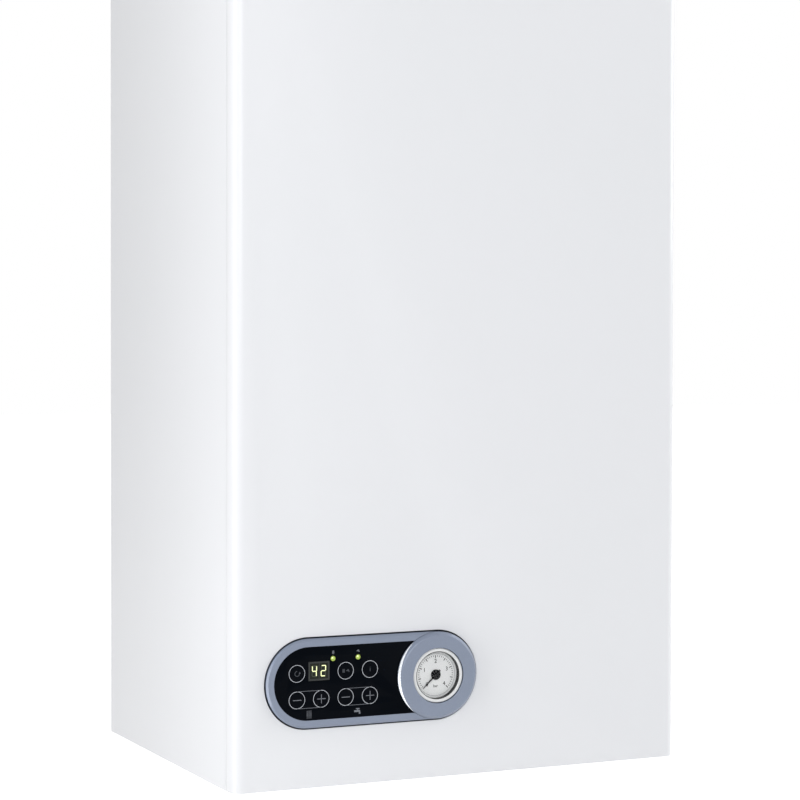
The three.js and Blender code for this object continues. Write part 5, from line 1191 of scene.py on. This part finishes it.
# %% Needle
needle_low, needle_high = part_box("gauge_needle")
needle_out = 0.3102
needle_in = 0.3096
needle_length = 0.0147
needle_tail = 0.005
needle_width = 0.0015
needle_tip = 0.35
needle_angle = math.radians(223)
hub_radius = 0.0041
hub_ease = 0.0005
low = disc_middle + Vector((-needle_width / 2, -needle_out, -needle_tail))
high = disc_middle + Vector((needle_width / 2, -needle_in, needle_length))
pointer = block("pointer", low, high)
pick(pointer, "FACE", lambda face: face.normal[2] > mostly)
bpy.ops.transform.resize(value=(needle_tip, 1, 1), center_override=disc_middle)
bpy.ops.object.mode_set(mode="OBJECT")
pointer.matrix_world = (Matrix.Translation(disc_middle) @ Matrix.Rotation(quarter - needle_angle, 4, "Y")
                        @ Matrix.Translation(-disc_middle))
settle(pointer)
hub = turned("hub", "out", disc_middle, [
    (hub_radius, -needle_high[1]), (hub_radius, -needle_low[1] - hub_ease),
    (hub_radius - hub_ease, -needle_low[1])])
needle = joined([hub, pointer], "needle_and_hub")
dress(needle, "needle", "black_plastic", needle_finish, ["gauge_needle"])
print("needle rests at", round(math.degrees(needle_angle)), "degrees")

# %% Seals and glass
dome = 0.0003
seal_width = 0.0004


def seal(back, front):
    """A black rubber sleeve inside the mouth of the gauge, which is also painted shade: its black gives the
    dark line of shade there.
    """
    inner = rim_mouth - seal_width
    return turned("seal", "out", disc_middle, [
        (inner, back), (rim_mouth - fit, back), (rim_mouth - fit, front), (inner, front), (inner, back)],
        sides=2 * round_sides, ring=True)


# The two black sleeves are painted shade as well as rubber: they give the dark rings of shade between the
# dial, the glass and the rim.
shade_seals = joined([seal(dial_front + fit, glass_back - fit), seal(glass_front + fit, case_front - rim_round)],
               "gauge_shade_seals")
dress(shade_seals, "control_unit", "black_plastic")
glass = turned("gauge_glass", "out", disc_middle, [
    (glass_radius, glass_back), (glass_radius, glass_front - dome), (glass_radius - dome, glass_front)])
dress(glass, "control_unit", "clear_glass", instead=["gauge_lens"])
print("glass of", glass_radius, "between seals of", seal_width)

# %% [markdown]
# ## The keys
# Seven round keys stand a little proud of the window. Each has a shallow dish for the finger. One key is
# turned and copied to each place, with its own mesh. A printed ring goes round each, and two thin lines
# join each pair.

# %% Keys
key_low, key_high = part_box("button_reset")
key_front = -key_low[1]
key_stem = 0.0025
key_cap = 0.008
key_round = 0.0004
dish_radius = 0.0048
dish_depth = 0.0003
key = turned("key", "out", Vector((0, 0, 0)), [
    (key_stem, -key_high[1]), (key_stem, key_front - key_cap), (key_radius, key_front - key_cap),
    (key_radius, key_front - key_round), (key_radius - key_round, key_front),
    (dish_radius, key_front), (dish_radius - dish_depth, key_front - dish_depth),
    (dish_depth, key_front - dish_depth - ink_height)])
for name, middle in key_middles.items():
    one = copied(key, name + "_key_cap", Matrix.Translation(middle))
    dress(one, name + "_key", "black_gloss", instead=["button_" + name])
bpy.data.objects.remove(key)
print("keys:", len(key_middles))

# %% Printed rings and lines
ring_radius = 0.0069
ring_width = 0.00045
line_width = 0.00030
print_front = window_front + ink_height


def printed_ring(middle):
    """A thin ring of ink round a key."""
    return turned("ring", "out", middle, [
        (ring_radius - ring_width, window_front), (ring_radius, window_front), (ring_radius, print_front),
        (ring_radius - ring_width, print_front), (ring_radius - ring_width, window_front)], ring=True)


def bar(low_x, high_x, low_z, high_z, front=print_front, thickness=ink_height):
    """A printed bar on an upright face."""
    return block("bar", (low_x, -front, low_z), (high_x, -front + thickness, high_z))


rings = joined([printed_ring(middle) for middle in key_middles.values()], "key_rings")
dress(rings, "control_unit", "black_gloss", pale_ink)
lines = []
for pair in ("heating", "water"):
    start, end = key_middles[pair + "_minus"], key_middles[pair + "_plus"]
    for side in (1, -1):
        height = start[2] + side * (ring_radius - line_width / 2)
        lines.append(bar(start[0], end[0], height - line_width / 2, height + line_width / 2))
dress(joined(lines, "pair_lines"), "control_unit", "black_gloss", grey_ink)
print("rings of", ring_radius, "round", len(key_middles), "keys")

# %% Signs on the keys
sign_half = 0.0036
sign_line = 0.00055
in_dish = key_front - dish_depth + ink_height


def sign_bar(middle, half_x, half_z):
    """One stroke of a sign in the dish of a key."""
    return bar(middle[0] - half_x, middle[0] + half_x, middle[2] - half_z, middle[2] + half_z,
               in_dish, 2 * ink_height)


for pair in ("heating", "water"):
    for kind in ("_minus", "_plus"):
        middle = key_middles[pair + kind]
        strokes = [sign_bar(middle, sign_half, sign_line / 2)]
        if kind == "_plus":
            strokes.append(sign_bar(middle, sign_line / 2, sign_half))
        dress(joined(strokes, pair + kind + "_sign"), pair + kind + "_key", "black_gloss", grey_ink)
print("minus and plus are", 2 * sign_half, "wide")

# %% [markdown]
# ## Signs for heating and water
# A radiator and a tap are understood everywhere without a word. The radiator is three ribs on two rails,
# and the tap a body with a handle and a spout. Both are drawn from bars, at the size that each place
# needs.

# %% Radiator and tap
sign_height = 0.0062
sign_drop = 0.0118
small_share = 0.42
small_rise = 0.0050
rib_half = 0.09
rib_steps = 4
rail_steps = 3
tap_units = 8
tap_strokes = {"handle": (-2, 2, 2, 3), "stem": (-0.5, 0.5, 1, 2), "body": (-4, 2.6, -1, 1),
               "spout": (1.2, 3, -3, -1)}


def radiator(middle, height, front):
    """Three upright ribs, and the two rails that join them."""
    x, z = middle[0], middle[2]
    half = height * rib_half
    reach, rail = height / 2, height / rail_steps
    ribs = [bar(x + step * height / rib_steps - half, x + step * height / rib_steps + half,
                z - reach, z + reach, front) for step in (-1, 0, 1)]
    rails = [bar(x - rail, x + rail, z + side * rail - half / 2, z + side * rail + half / 2, front)
             for side in (-1, 1)]
    return ribs + rails


def tap(middle, height, front):
    """A handle, a stem, a body and a spout: left, right, low and high of each, in eighths of the height."""
    x, z = middle[0], middle[2]
    unit = height / tap_units
    return [bar(x + unit * left, x + unit * right, z + unit * low, z + unit * high, front)
            for left, right, low, high in tap_strokes.values()]


for pair, draw in (("heating", radiator), ("water", tap)):
    middle = (key_middles[pair + "_minus"] + key_middles[pair + "_plus"]) / 2
    below = middle - Vector((0, 0, sign_drop))
    above = lamp_middles["lamp_" + pair] + Vector((0, 0, small_rise))
    dress(joined(draw(below, sign_height, print_front), pair + "_sign"), "control_unit", "black_gloss",
          faint_ink if pair == "heating" else grey_ink)
    dress(joined(draw(above, sign_height * small_share, print_front), pair + "_lamp_sign"), "control_unit",
          "black_gloss", grey_ink)
print("signs drawn", sign_height, "high")

# %% Signs on the upper keys
top_sign_share = 0.48
top_sign_height = sign_height * top_sign_share
top_sign_side = Vector((0.0019, 0, 0))
turn_radius = 0.0022
turn_line = 0.0005
arrow_radius = 0.0011
arrow_sides = 3
letter_height = 0.0058
season_middle = key_middles["season"]
season_strokes = (radiator(season_middle - top_sign_side, top_sign_height, in_dish)
                  + tap(season_middle + top_sign_side, top_sign_height, in_dish))
dress(joined(season_strokes, "season_sign"), "season_key", "black_gloss", faint_ink)
reset_middle = key_middles["reset"]
turn_inner = turn_radius - turn_line
turn_sign = turned("turn_sign", "out", reset_middle, [
    (turn_inner, in_dish - ink_height), (turn_radius, in_dish - ink_height), (turn_radius, in_dish),
    (turn_inner, in_dish), (turn_inner, in_dish - ink_height)], ring=True)
cut(turn_sign, block("gap", reset_middle + Vector((0, -bezel_front - over, 0)),
                     reset_middle + Vector((turn_radius, 0, turn_radius))))
arrow = turned("arrow", "out", reset_middle + Vector((turn_radius, 0, turn_line)), [
    (arrow_radius, in_dish - ink_height), (arrow_radius, in_dish)], sides=arrow_sides)
dress(joined([turn_sign, arrow], "reset_sign"), "reset_key", "black_gloss", faint_ink)
info_place = key_middles["info"] + Vector((0, -in_dish, 0))
letter = lettering("info_sign", "i", letter_height, info_place, ink_height / 2)
dress(letter, "info_key", "black_gloss", faint_ink)
print("upper keys have signs", round(top_sign_height, 4), "high")

# %% [markdown]
# ## Display and lamps
# The display is a dark frame with a post between its two cells. Each cell has the seven bars of a figure,
# lit or unlit. Which bars are lit for which digit is the one table here.

# %% Display
display_front = -display_low[1]
display_frame = 0.0014
display_recess = 0.0006
divider = 0.0006
display_block = block("display_block", display_low, display_high)
recess_floor = display_front - display_recess
cut(display_block, block("recess", *inset(display_low, display_high, display_frame, display_front + over,
                                         recess_floor)))
middle_x = (display_low[0] + display_high[0]) / 2
post = bar(middle_x - divider / 2, middle_x + divider / 2, display_low[2] + display_frame,
           display_high[2] - display_frame, display_front, display_recess)
display_body = joined([display_block, post], "display_body")
soften(display_body, edge_ease / 2)
dress(display_body, "control_unit", "grey_plastic", frame_finish, ["display"])
cells = block("display_cells", *inset(display_low, display_high, display_frame, recess_floor + ink_height,
                                      recess_floor))
dress(cells, "control_unit", "black_gloss", cell_finish)
print("display frame", display_frame, "wide")

# %% Lit figures
lit_bars = {"4": "bcfg", "2": "abged"}
figure_wide = 0.0036
figure_tall = 0.0082
stroke = 0.00075
figure_lean = 0.06
shown = "42"


def seven_bars(marks, centre_x, centre_z):
    """Bars of one digit, by their usual letters."""
    half_w, half_h = figure_wide / 2, figure_tall / 2
    places = {"a": (0, half_h), "g": (0, 0), "d": (0, -half_h),
              "f": (-half_w, half_h / 2), "b": (half_w, half_h / 2),
              "e": (-half_w, -half_h / 2), "c": (half_w, -half_h / 2)}
    bars = []
    for mark in marks:
        x, z = places[mark]
        flat = mark in "agd"
        long = (half_w if flat else half_h / 2) - stroke / 4
        wide, tall = (long, stroke / 2) if flat else (stroke / 2, long)
        lean = z * figure_lean
        bars.append(bar(centre_x + x + lean - wide, centre_x + x + lean + wide, centre_z + z - tall,
                        centre_z + z + tall, recess_floor + 2 * ink_height, ink_height))
    return bars


cell = (display_high[0] - display_low[0] - 2 * display_frame) / 2
display_z = (display_low[2] + display_high[2]) / 2
all_bars = "abcdefg"
bars = []
unlit = []
for digit, side in zip(shown, (-1, 1)):
    centre = middle_x + side * cell / 2
    bars += seven_bars(lit_bars[digit], centre, display_z)
    unlit += seven_bars([mark for mark in all_bars if mark not in lit_bars[digit]], centre, display_z)
dress(joined(bars, "lit_figures"), "control_unit", "green_lamp", digit_finish)
dress(joined(unlit, "unlit_figures"), "control_unit", "green_lamp", spent_finish)
print("display shows", shown)

# %% Lamps
lamp_dome = 0.0006
shoulder_share = 0.85
top_share = 0.45
lamp_sides = 32
core_radius = 0.0011
core_shift = Vector((-0.0003, 0, 0.0003))
core_drop = 0.0001
core_sides = 24
for name, middle in lamp_middles.items():
    low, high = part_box(name)
    front, back = -low[1], -high[1]
    lamp = turned(name + "_dome", "out", middle, [
        (lamp_radius, back), (lamp_radius, front - lamp_dome),
        (lamp_radius * shoulder_share, front - lamp_dome / 3), (lamp_radius * top_share, front)],
        sides=lamp_sides)
    dress(lamp, "control_unit", "green_lamp", instead=[name])
    core = turned(name + "_core", "out", middle + core_shift, [
        (core_radius, front - lamp_dome), (core_radius, front - core_drop), (core_radius / 2, front)],
        sides=core_sides)
    dress(core, "control_unit", "green_lamp", core_finish)
print("lamps:", len(lamp_middles))

# %% [markdown]
# ## Pipes and hoses
# Copper pipe is bent on a tool, so its corners are round and its wall stays even. The solids of the frame
# have plain mitred corners. Here each pipe is a curve with thickness, through the same corners, with real
# bends. The corners are read from the box of the solid, so a pipe can't miss the fitting that it enters.

# %% Pipes
pipe_radius = 0.009
pipe_bend = 0.027
small_radius = 0.005
small_bend = 0.014
thin_radius = 0.0015
thin_bend = 0.011


def corners_of(node, radius):
    """The middle lines of a pipe at the two corners of its box."""
    low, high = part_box(node)
    grow = Vector((radius, radius, radius))
    return low + grow, high - grow


def new_pipe(node, points, radius, bend, slot):
    """A smooth pipe that stands for a solid one."""
    made = pipe(node + "_bent", points, radius, bend)
    return dress(made, "casing", slot, instead=[node])


low, high = corners_of("flow_pipe", pipe_radius)
box_low, box_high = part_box("flow_pipe")
flow_corners = [(low[0], low[1], box_low[2]), (low[0], low[1], high[2]), (box_high[0], low[1], high[2])]
new_pipe("flow_pipe", flow_corners, pipe_radius, pipe_bend, "copper")
low, high = corners_of("return_pipe", pipe_radius)
box_low, box_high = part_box("return_pipe")
return_corners = [(high[0], high[1], box_low[2]), (high[0], high[1], high[2]), (high[0], low[1], high[2]),
                  (box_low[0], low[1], high[2])]
new_pipe("return_pipe", return_corners, pipe_radius, pipe_bend, "copper")
low, high = corners_of("vessel_pipe", small_radius)
box_low, box_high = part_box("vessel_pipe")
run_height = -0.512
vessel_corners = [(low[0], high[1], box_high[2]), (low[0], high[1], run_height),
                  (high[0], high[1], run_height), (high[0], low[1], run_height),
                  (high[0], low[1], box_low[2])]
new_pipe("vessel_pipe", vessel_corners, small_radius, small_bend, "copper")
print("pipes bent at", pipe_bend, "and", small_bend)

# %% [markdown]
# ## The capillary of the gauge
# A thin copper tube brings the water's pressure to the gauge. It is fixed at one end and swings out with
# the control box at the other, as a soft loop. So the mesh is blended across the hinge and not cut there.

# %% Capillary
low, high = corners_of("gauge_capillary", thin_radius)
box_low, box_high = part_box("gauge_capillary")
flexing = 0.004
loop_out = 0.198
drop_out = 0.1022
nipple_top = -0.5437
entry = Vector((low[0], box_low[1], panel_z))
capillary = pipe("capillary_loop", [
    entry, (low[0], -loop_out, panel_z), (low[0], -loop_out, high[2]), (low[0], -drop_out, high[2]),
    (high[0], -drop_out, high[2]), (high[0], high[1], high[2]), (high[0], high[1], nipple_top)],
    thin_radius, thin_bend, flexing)
settle(capillary)
capillary.data.materials.append(finishes["copper"].material)
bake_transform(capillary, "casing", "control_unit", start=(low[0], -drop_out, panel_z), end=entry)
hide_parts("gauge_capillary")
print("capillary of", thin_radius, "blended across the hinge")

# %% [markdown]
# ## Screws
# Sheet metal is held by pan-head screws with a cross. One is turned, its cross is cut, and it is copied
# to each place with its own mesh. A screw tells the eye how big everything is, so its size has to be
# right.

# %% One screw
head_radius = 0.0034
head_height = 0.0016
head_round = 0.0006
cross_half = 0.0019
cross_width = 0.0007
cross_depth = 0.0009
screw_sides = 28
screw = turned("screw", "out", Vector((0, 0, 0)), [
    (head_radius, 0), (head_radius, head_height - head_round),
    (head_radius - head_round / 3, head_height - head_round / 3), (head_radius - head_round, head_height)],
    sides=screw_sides)
for wide, tall in ((cross_half, cross_width / 2), (cross_width / 2, cross_half)):
    cut(screw, block("slot", (-wide, -head_height * 2, -tall), (wide, -cross_depth, tall)))
smooth(screw)
print("screw head", 2 * head_radius, "wide")

# %% Placing screws
facing = {"front": Matrix.Identity(4), "top": Matrix.Rotation(-quarter, 4, "X"),
          "bottom": Matrix.Rotation(quarter, 4, "X")}


def screws(name, body, side, places):
    """Screws at these places, all facing one side, as one piece."""
    made = [copied(screw, "screw", Matrix.Translation(place) @ facing[side]) for place in places]
    dress(joined(made, name), body, "stainless_steel", zinc_screw)
    return len(made)


def round_the_edge(node, side, margin, across, upright):
    """Places along the edge of one face of a solid: so many across, and so many up each side."""
    low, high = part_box(node)
    level = {"front": low[1], "top": high[2], "bottom": low[2]}[side]
    flat = side in ("top", "bottom")
    first = (low[0] + margin, high[0] - margin)
    second = (low[1] + margin, high[1] - margin) if flat else (low[2] + margin, high[2] - margin)
    spots = {(x, y) for x in stations(*first, across) for y in second}
    spots |= {(x, y) for x in first for y in stations(*second, upright)}
    return [Vector((x, y, level)) if flat else Vector((x, level, y)) for x, y in sorted(spots)]


def stations(start, end, count):
    """So many places at even steps from start to end. The last is exactly the end."""
    return [start + (end - start) * step / (count - 1) for step in range(count - 1)] + [end]


print("screws can face", sorted(facing))

# %% Screws in their places
edge_margin = 0.0065
box_margin = 0.0125
wide_margin = 0.03
motor_margin = 0.014
rib_height = 0.002
air_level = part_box("air_box_cover")[0][1] + rib_height
total = screws("air_cover_screws", "air_cover", "front",
               [Vector((place[0], air_level, place[2]))
                for place in round_the_edge("air_box_cover", "front", edge_margin, across=4, upright=6)])
total += screws("control_screws", "control_unit", "front",
                round_the_edge("control_box", "front", box_margin, across=2, upright=2))
total += screws("chamber_screws", "casing", "front",
                round_the_edge("combustion_chamber", "front", edge_margin, across=4, upright=3))
total += screws("top_screws", "casing", "top",
                round_the_edge("top_plate", "top", wide_margin, across=2, upright=2))
total += screws("bottom_screws", "casing", "bottom",
                round_the_edge("bottom_plate", "bottom", box_margin, across=4, upright=2))
print("screws so far:", total)

# %% Screws of the collar and the fan
collar_low, collar_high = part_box("flue_collar")
collar_middle = (collar_low + collar_high) / 2
flange_thickness = 0.0033
collar_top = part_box("top_plate")[1][2] + flange_thickness
bolt_circle = 0.059
bolt_count = 4
bolts = []
for step in range(bolt_count):
    turn = quarter / 2 + quarter * step
    bolts.append(Vector((collar_middle[0] + math.cos(turn) * bolt_circle,
                         collar_middle[1] + math.sin(turn) * bolt_circle, collar_top)))
total += screws("collar_screws", "casing", "top", bolts)
total += screws("fan_screws", "casing", "front",
                round_the_edge("fan_motor", "front", motor_margin, across=2, upright=2))
bpy.data.objects.remove(screw)
print("screws:", total)

# %% [markdown]
# ## Wires
# Every electric piece has its own wires, which are laid square along the walls and meet in one sleeve to
# the control box. Each route is told as a start on a piece and then a few moves, one axis at a time, and
# the pipe helper rounds the corners. Only the sleeve crosses the hinge, so only it is blended. It runs
# along the hinge on its way, because a long run twists gently where a short one would be pulled flat.

# %% Laying wires
wire_radius = 0.0013
wire_bend = 0.009
plug_half = 0.0042
plug_ease = 0.0006
axes = {"x": 0, "y": 1, "z": 2}


def spot(node, across, forward, up):
    """A point in the box of a solid: shares from left to right, from back to front, and from low to high."""
    low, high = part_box(node)
    return Vector((low[0] + (high[0] - low[0]) * across, high[1] - (high[1] - low[1]) * forward,
                   low[2] + (high[2] - low[2]) * up))


def wire(name, start, moves, slot):
    """A wire from a start, along one axis after another."""
    points = [Vector(start)]
    for axis, value in moves:
        point = points[-1].copy()
        point[axes[axis]] = value
        if (point - points[-1]).length > wire_radius:
            points.append(point)
    return dress(pipe(name, points, wire_radius, wire_bend), "casing", slot)


def plugs_at(name, places):
    """Small moulded plugs at the ends of wires."""
    grow = Vector((plug_half, plug_half, plug_half))
    made = [block("plug", place - grow, place + grow) for place in places]
    piece = joined(made, name)
    soften(piece, plug_ease)
    return dress(piece, "casing", "white_plastic")


print("wires of", wire_radius, "from middle to skin")

# %% Wires in the air box
sleeve_x = 0.150
sleeve_y = -0.232
corridor_y = -0.2645
right_wall_x = 0.178
chamber_side_x = 0.1285
above_floor = -0.355
floor_line = -0.366
through_floor = -0.380
switch_start = spot("air_pressure_switch", across=0.45, forward=0.5, up=0)
fan_start = spot("fan_motor", across=0.75, forward=0.8, up=0.15)
first_lead = spot("electrode_block", across=0.32, forward=0.9, up=0)
second_lead = spot("electrode_block", across=0.68, forward=0.9, up=0)
under_switch = switch_start[2] - 2 * wire_bend
apart = 3 * wire_radius
last_moves = (("y", sleeve_y), ("x", sleeve_x), ("z", through_floor))
switch_moves = (("z", under_switch), ("x", right_wall_x), ("z", above_floor))
wire("switch_wire", switch_start, switch_moves + last_moves, "white_plastic")
fan_moves = (("y", corridor_y), ("x", chamber_side_x), ("z", above_floor + wire_bend))
wire("fan_wire", fan_start, fan_moves + last_moves, "blue_plastic")
spark_moves = (("z", floor_line), ("x", chamber_side_x), ("y", sleeve_y), ("x", sleeve_x - wire_bend),
               ("z", through_floor))
wire("spark_wire", first_lead, spark_moves, "red_plastic")
flame_moves = (("z", floor_line + apart), ("x", chamber_side_x + apart), ("y", sleeve_y - apart),
               ("x", sleeve_x - wire_bend / 2), ("z", through_floor))
wire("flame_wire", second_lead, flame_moves, "white_plastic")
print("four wires go through the floor of the air box")

# %% Wires of the pump, the valve and the diverter
low_line = -0.496
front_line = -0.2145
pump_start = spot("pump_motor", across=0.04, forward=0.6, up=0.3)
valve_start = spot("gas_valve", across=0.25, forward=1, up=0.66)
diverter_start = spot("diverter_motor", across=0.5, forward=1, up=0.3)
low_wires = (("pump_wire", pump_start, "grey_plastic"), ("valve_wire", valve_start, "black_plastic"),
             ("diverter_wire", diverter_start, "blue_plastic"))
for step, (name, start, slot) in enumerate(low_wires):
    side = step * apart
    wire(name, start, (("y", front_line - side), ("z", low_line - side), ("x", sleeve_x - side)), slot)
plugs_at("wire_plugs", [switch_start, fan_start, pump_start, valve_start, diverter_start])
print("wires below the air box:", len(low_wires))

# %% Sleeve to the control box
sleeve_radius = 0.0055
sleeve_bend = 0.012
sleeve_low = -0.545
sleeve_back = -0.220
entry_x = 0.03
sleeve_entry = Vector((entry_x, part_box("control_rear_cover")[1][1], sleeve_low))
run_start = Vector((sleeve_x, sleeve_back, sleeve_low))
run_end = Vector((entry_x, sleeve_back, sleeve_low))
sleeve = pipe("wire_sleeve", [
    (sleeve_x, sleeve_y, through_floor), (sleeve_x, sleeve_y, low_line + 2 * sleeve_bend),
    (sleeve_x, sleeve_back, low_line), run_start, run_end, sleeve_entry],
    sleeve_radius, sleeve_bend, flexing)
settle(sleeve)
sleeve.data.materials.append(finishes["black_plastic"].material)
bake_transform(sleeve, "casing", "control_unit", start=run_start, end=run_end)
print("sleeve runs", round((run_end - run_start).length, 3), "along the hinge")

# %% Grommets
grommet_radius = 0.009
grommet_lip = 0.002


def grommet(name, way, place, body):
    """A rubber ring where the sleeve goes through a sheet."""
    made = turned(name, way, place, [
        (sleeve_radius, -grommet_lip), (grommet_radius, -grommet_lip), (grommet_radius, grommet_lip),
        (sleeve_radius, grommet_lip), (sleeve_radius, -grommet_lip)], ring=True)
    return dress(soften(made, plug_ease), body, "black_plastic")


grommet("floor_grommet", "up", Vector((sleeve_x, sleeve_y, through_floor + grommet_lip)), "casing")
grommet("box_grommet", "out", sleeve_entry, "control_unit")
print("sleeve enters the box at", tuple(round(part, 3) for part in sleeve_entry))

# %% [markdown]
# ## The face of the control box
# The bare front of the box is ribbed, as such mouldings are, so that it stays stiff. One rib is made and
# copied.

# %% Ribs on the control box
rib_width = 0.002
rib_stand = 0.0012
rib_count = 11
start = spot("control_box", across=0.63, forward=1, up=0.16)
end = spot("control_box", across=0.95, forward=1, up=0.84)
rib = block("rib", (start[0], start[1] - rib_stand, start[2]), (start[0] + rib_width, start[1], end[2]))
ribs = [copied(rib, "rib", Matrix.Translation((shift, 0, 0)))
        for shift in stations(0, end[0] - start[0], rib_count)]
bpy.data.objects.remove(rib)
dress(soften(joined(ribs, "control_ribs"), edge_ease), "control_unit", "grey_plastic")
print("ribs:", rib_count)

# %% [markdown]
# ## All other pieces inside
# What is left keeps the form of its solid: valve, pump, exchanger, fan, vessel and fittings. Their edges
# are eased and each gets the finish of its real stuff.

# %% Inside, eased
inside_ease = 0.0005
remaining = [node for node in solids if not solids[node].hide_render]
for node in remaining:
    eased(node, inside_ease)
print("eased inside:", len(remaining))

# %% [markdown]
# ## Floor and light
# The boiler hangs in an empty white studio, because its real place is on a wall. The floor is pale and
# lies a little lower than the pipe ends, where it keeps the soft shadow.

# %% Floor
floor_size = 30.0
floor_drop = 0.25
floor_place = (0, 0, cad_box[0][2] - floor_drop)
seen_share = 0.62
take(None)
bpy.ops.mesh.primitive_plane_add(size=floor_size, location=floor_place)
floor = bpy.context.object
floor.name = "studio_floor"
floor_finish = Finish("floor_finish", Roughness=0.9)
clouds = floor_finish.noise(each_metre=2.0)
floor_finish.feed("Base Color", floor_finish.colour(clouds, rgb(244, 244, 244), rgb(248, 248, 248)))
seen_rays = ("Is Camera Ray", "Is Glossy Ray", "Is Transmission Ray")
floor_rays = [floor_finish.node("LightPath", output=name) for name in seen_rays]
floor_finish.shader.inputs["Emission Color"].default_value = (1, 1, 1, 1)
floor_finish.feed("Emission Strength", floor_finish.maximum(*floor_rays) * seen_share)
floor_finish.feed("Alpha", 1 - floor_finish.node("NewGeometry", output="Backfacing"))
floor.data.materials.append(floor_finish.material)
print("floor at", round(floor_place[2], 3))

# %% Light of the room
room_light = 0.45
seen_white = 1.0
world = bpy.data.worlds.new("studio")
bpy.context.scene.world = world
world.use_nodes = True
sky = world.node_tree.nodes["Background"]
paths = world.node_tree.nodes.new("ShaderNodeLightPath")
links = world.node_tree.links


def world_maths(operation, first, second):
    """A Math node in the world."""
    made = world.node_tree.nodes.new("ShaderNodeMath")
    made.operation = operation
    for number, value in enumerate((first, second)):
        if isinstance(value, (int, float)):
            made.inputs[number].default_value = value
        else:
            links.new(value, made.inputs[number])
    return made.outputs[0]


seen = paths.outputs[seen_rays[0]]
for ray in seen_rays[1:]:
    seen = world_maths("MAXIMUM", seen, paths.outputs[ray])
strength = world_maths("MULTIPLY", seen, seen_white - room_light)
links.new(world_maths("ADD", strength, room_light), sky.inputs["Strength"])
sky.inputs["Color"].default_value = (1, 1, 1, 1)
print("the room gives", room_light, "and is seen as", seen_white)

# %% Lamps of the studio
key_place = (-0.8, -3.3, 0.8)
key_size = 2.2
key_power = 30
right_place = (3.0, -0.9, 0.9)
right_power = 40
back_place = (-0.6, 3.2, 2.4)
back_power = 26
side_size = 2.0
strip_width = 0.12
strip_length = 2.0
strip_power = 1.9
strip_side = Vector((-0.32, -0.1, 0))


def soft_light(name, place, towards, size, power):
    """A square soft light that faces a point."""
    bpy.ops.object.light_add(type="AREA", location=place)
    light = bpy.context.object
    light.name = name
    light.data.size = size
    light.data.energy = power
    light.visible_camera = False
    light.rotation_euler = (Vector(towards) - Vector(place)).to_track_quat("-Z", "Y").to_euler()
    return light


casing_middle = (cad_box[0] + cad_box[1]) / 2
soft_light("key_light", key_place, casing_middle, key_size, key_power)
soft_light("right_light", right_place, casing_middle, side_size, right_power)
soft_light("back_light", back_place, casing_middle, side_size, back_power)
corner = Vector((cad_box[0][0], cad_box[0][1], casing_middle[2]))
strip = soft_light("corner_light", corner + strip_side, corner, strip_width, strip_power)
strip.data.shape = "RECTANGLE"
strip.data.size_y = strip_length
bpy.context.scene.view_settings.view_transform = "Standard"
print("a strip of", strip_width, "by", strip_length, "lights the left front corner")
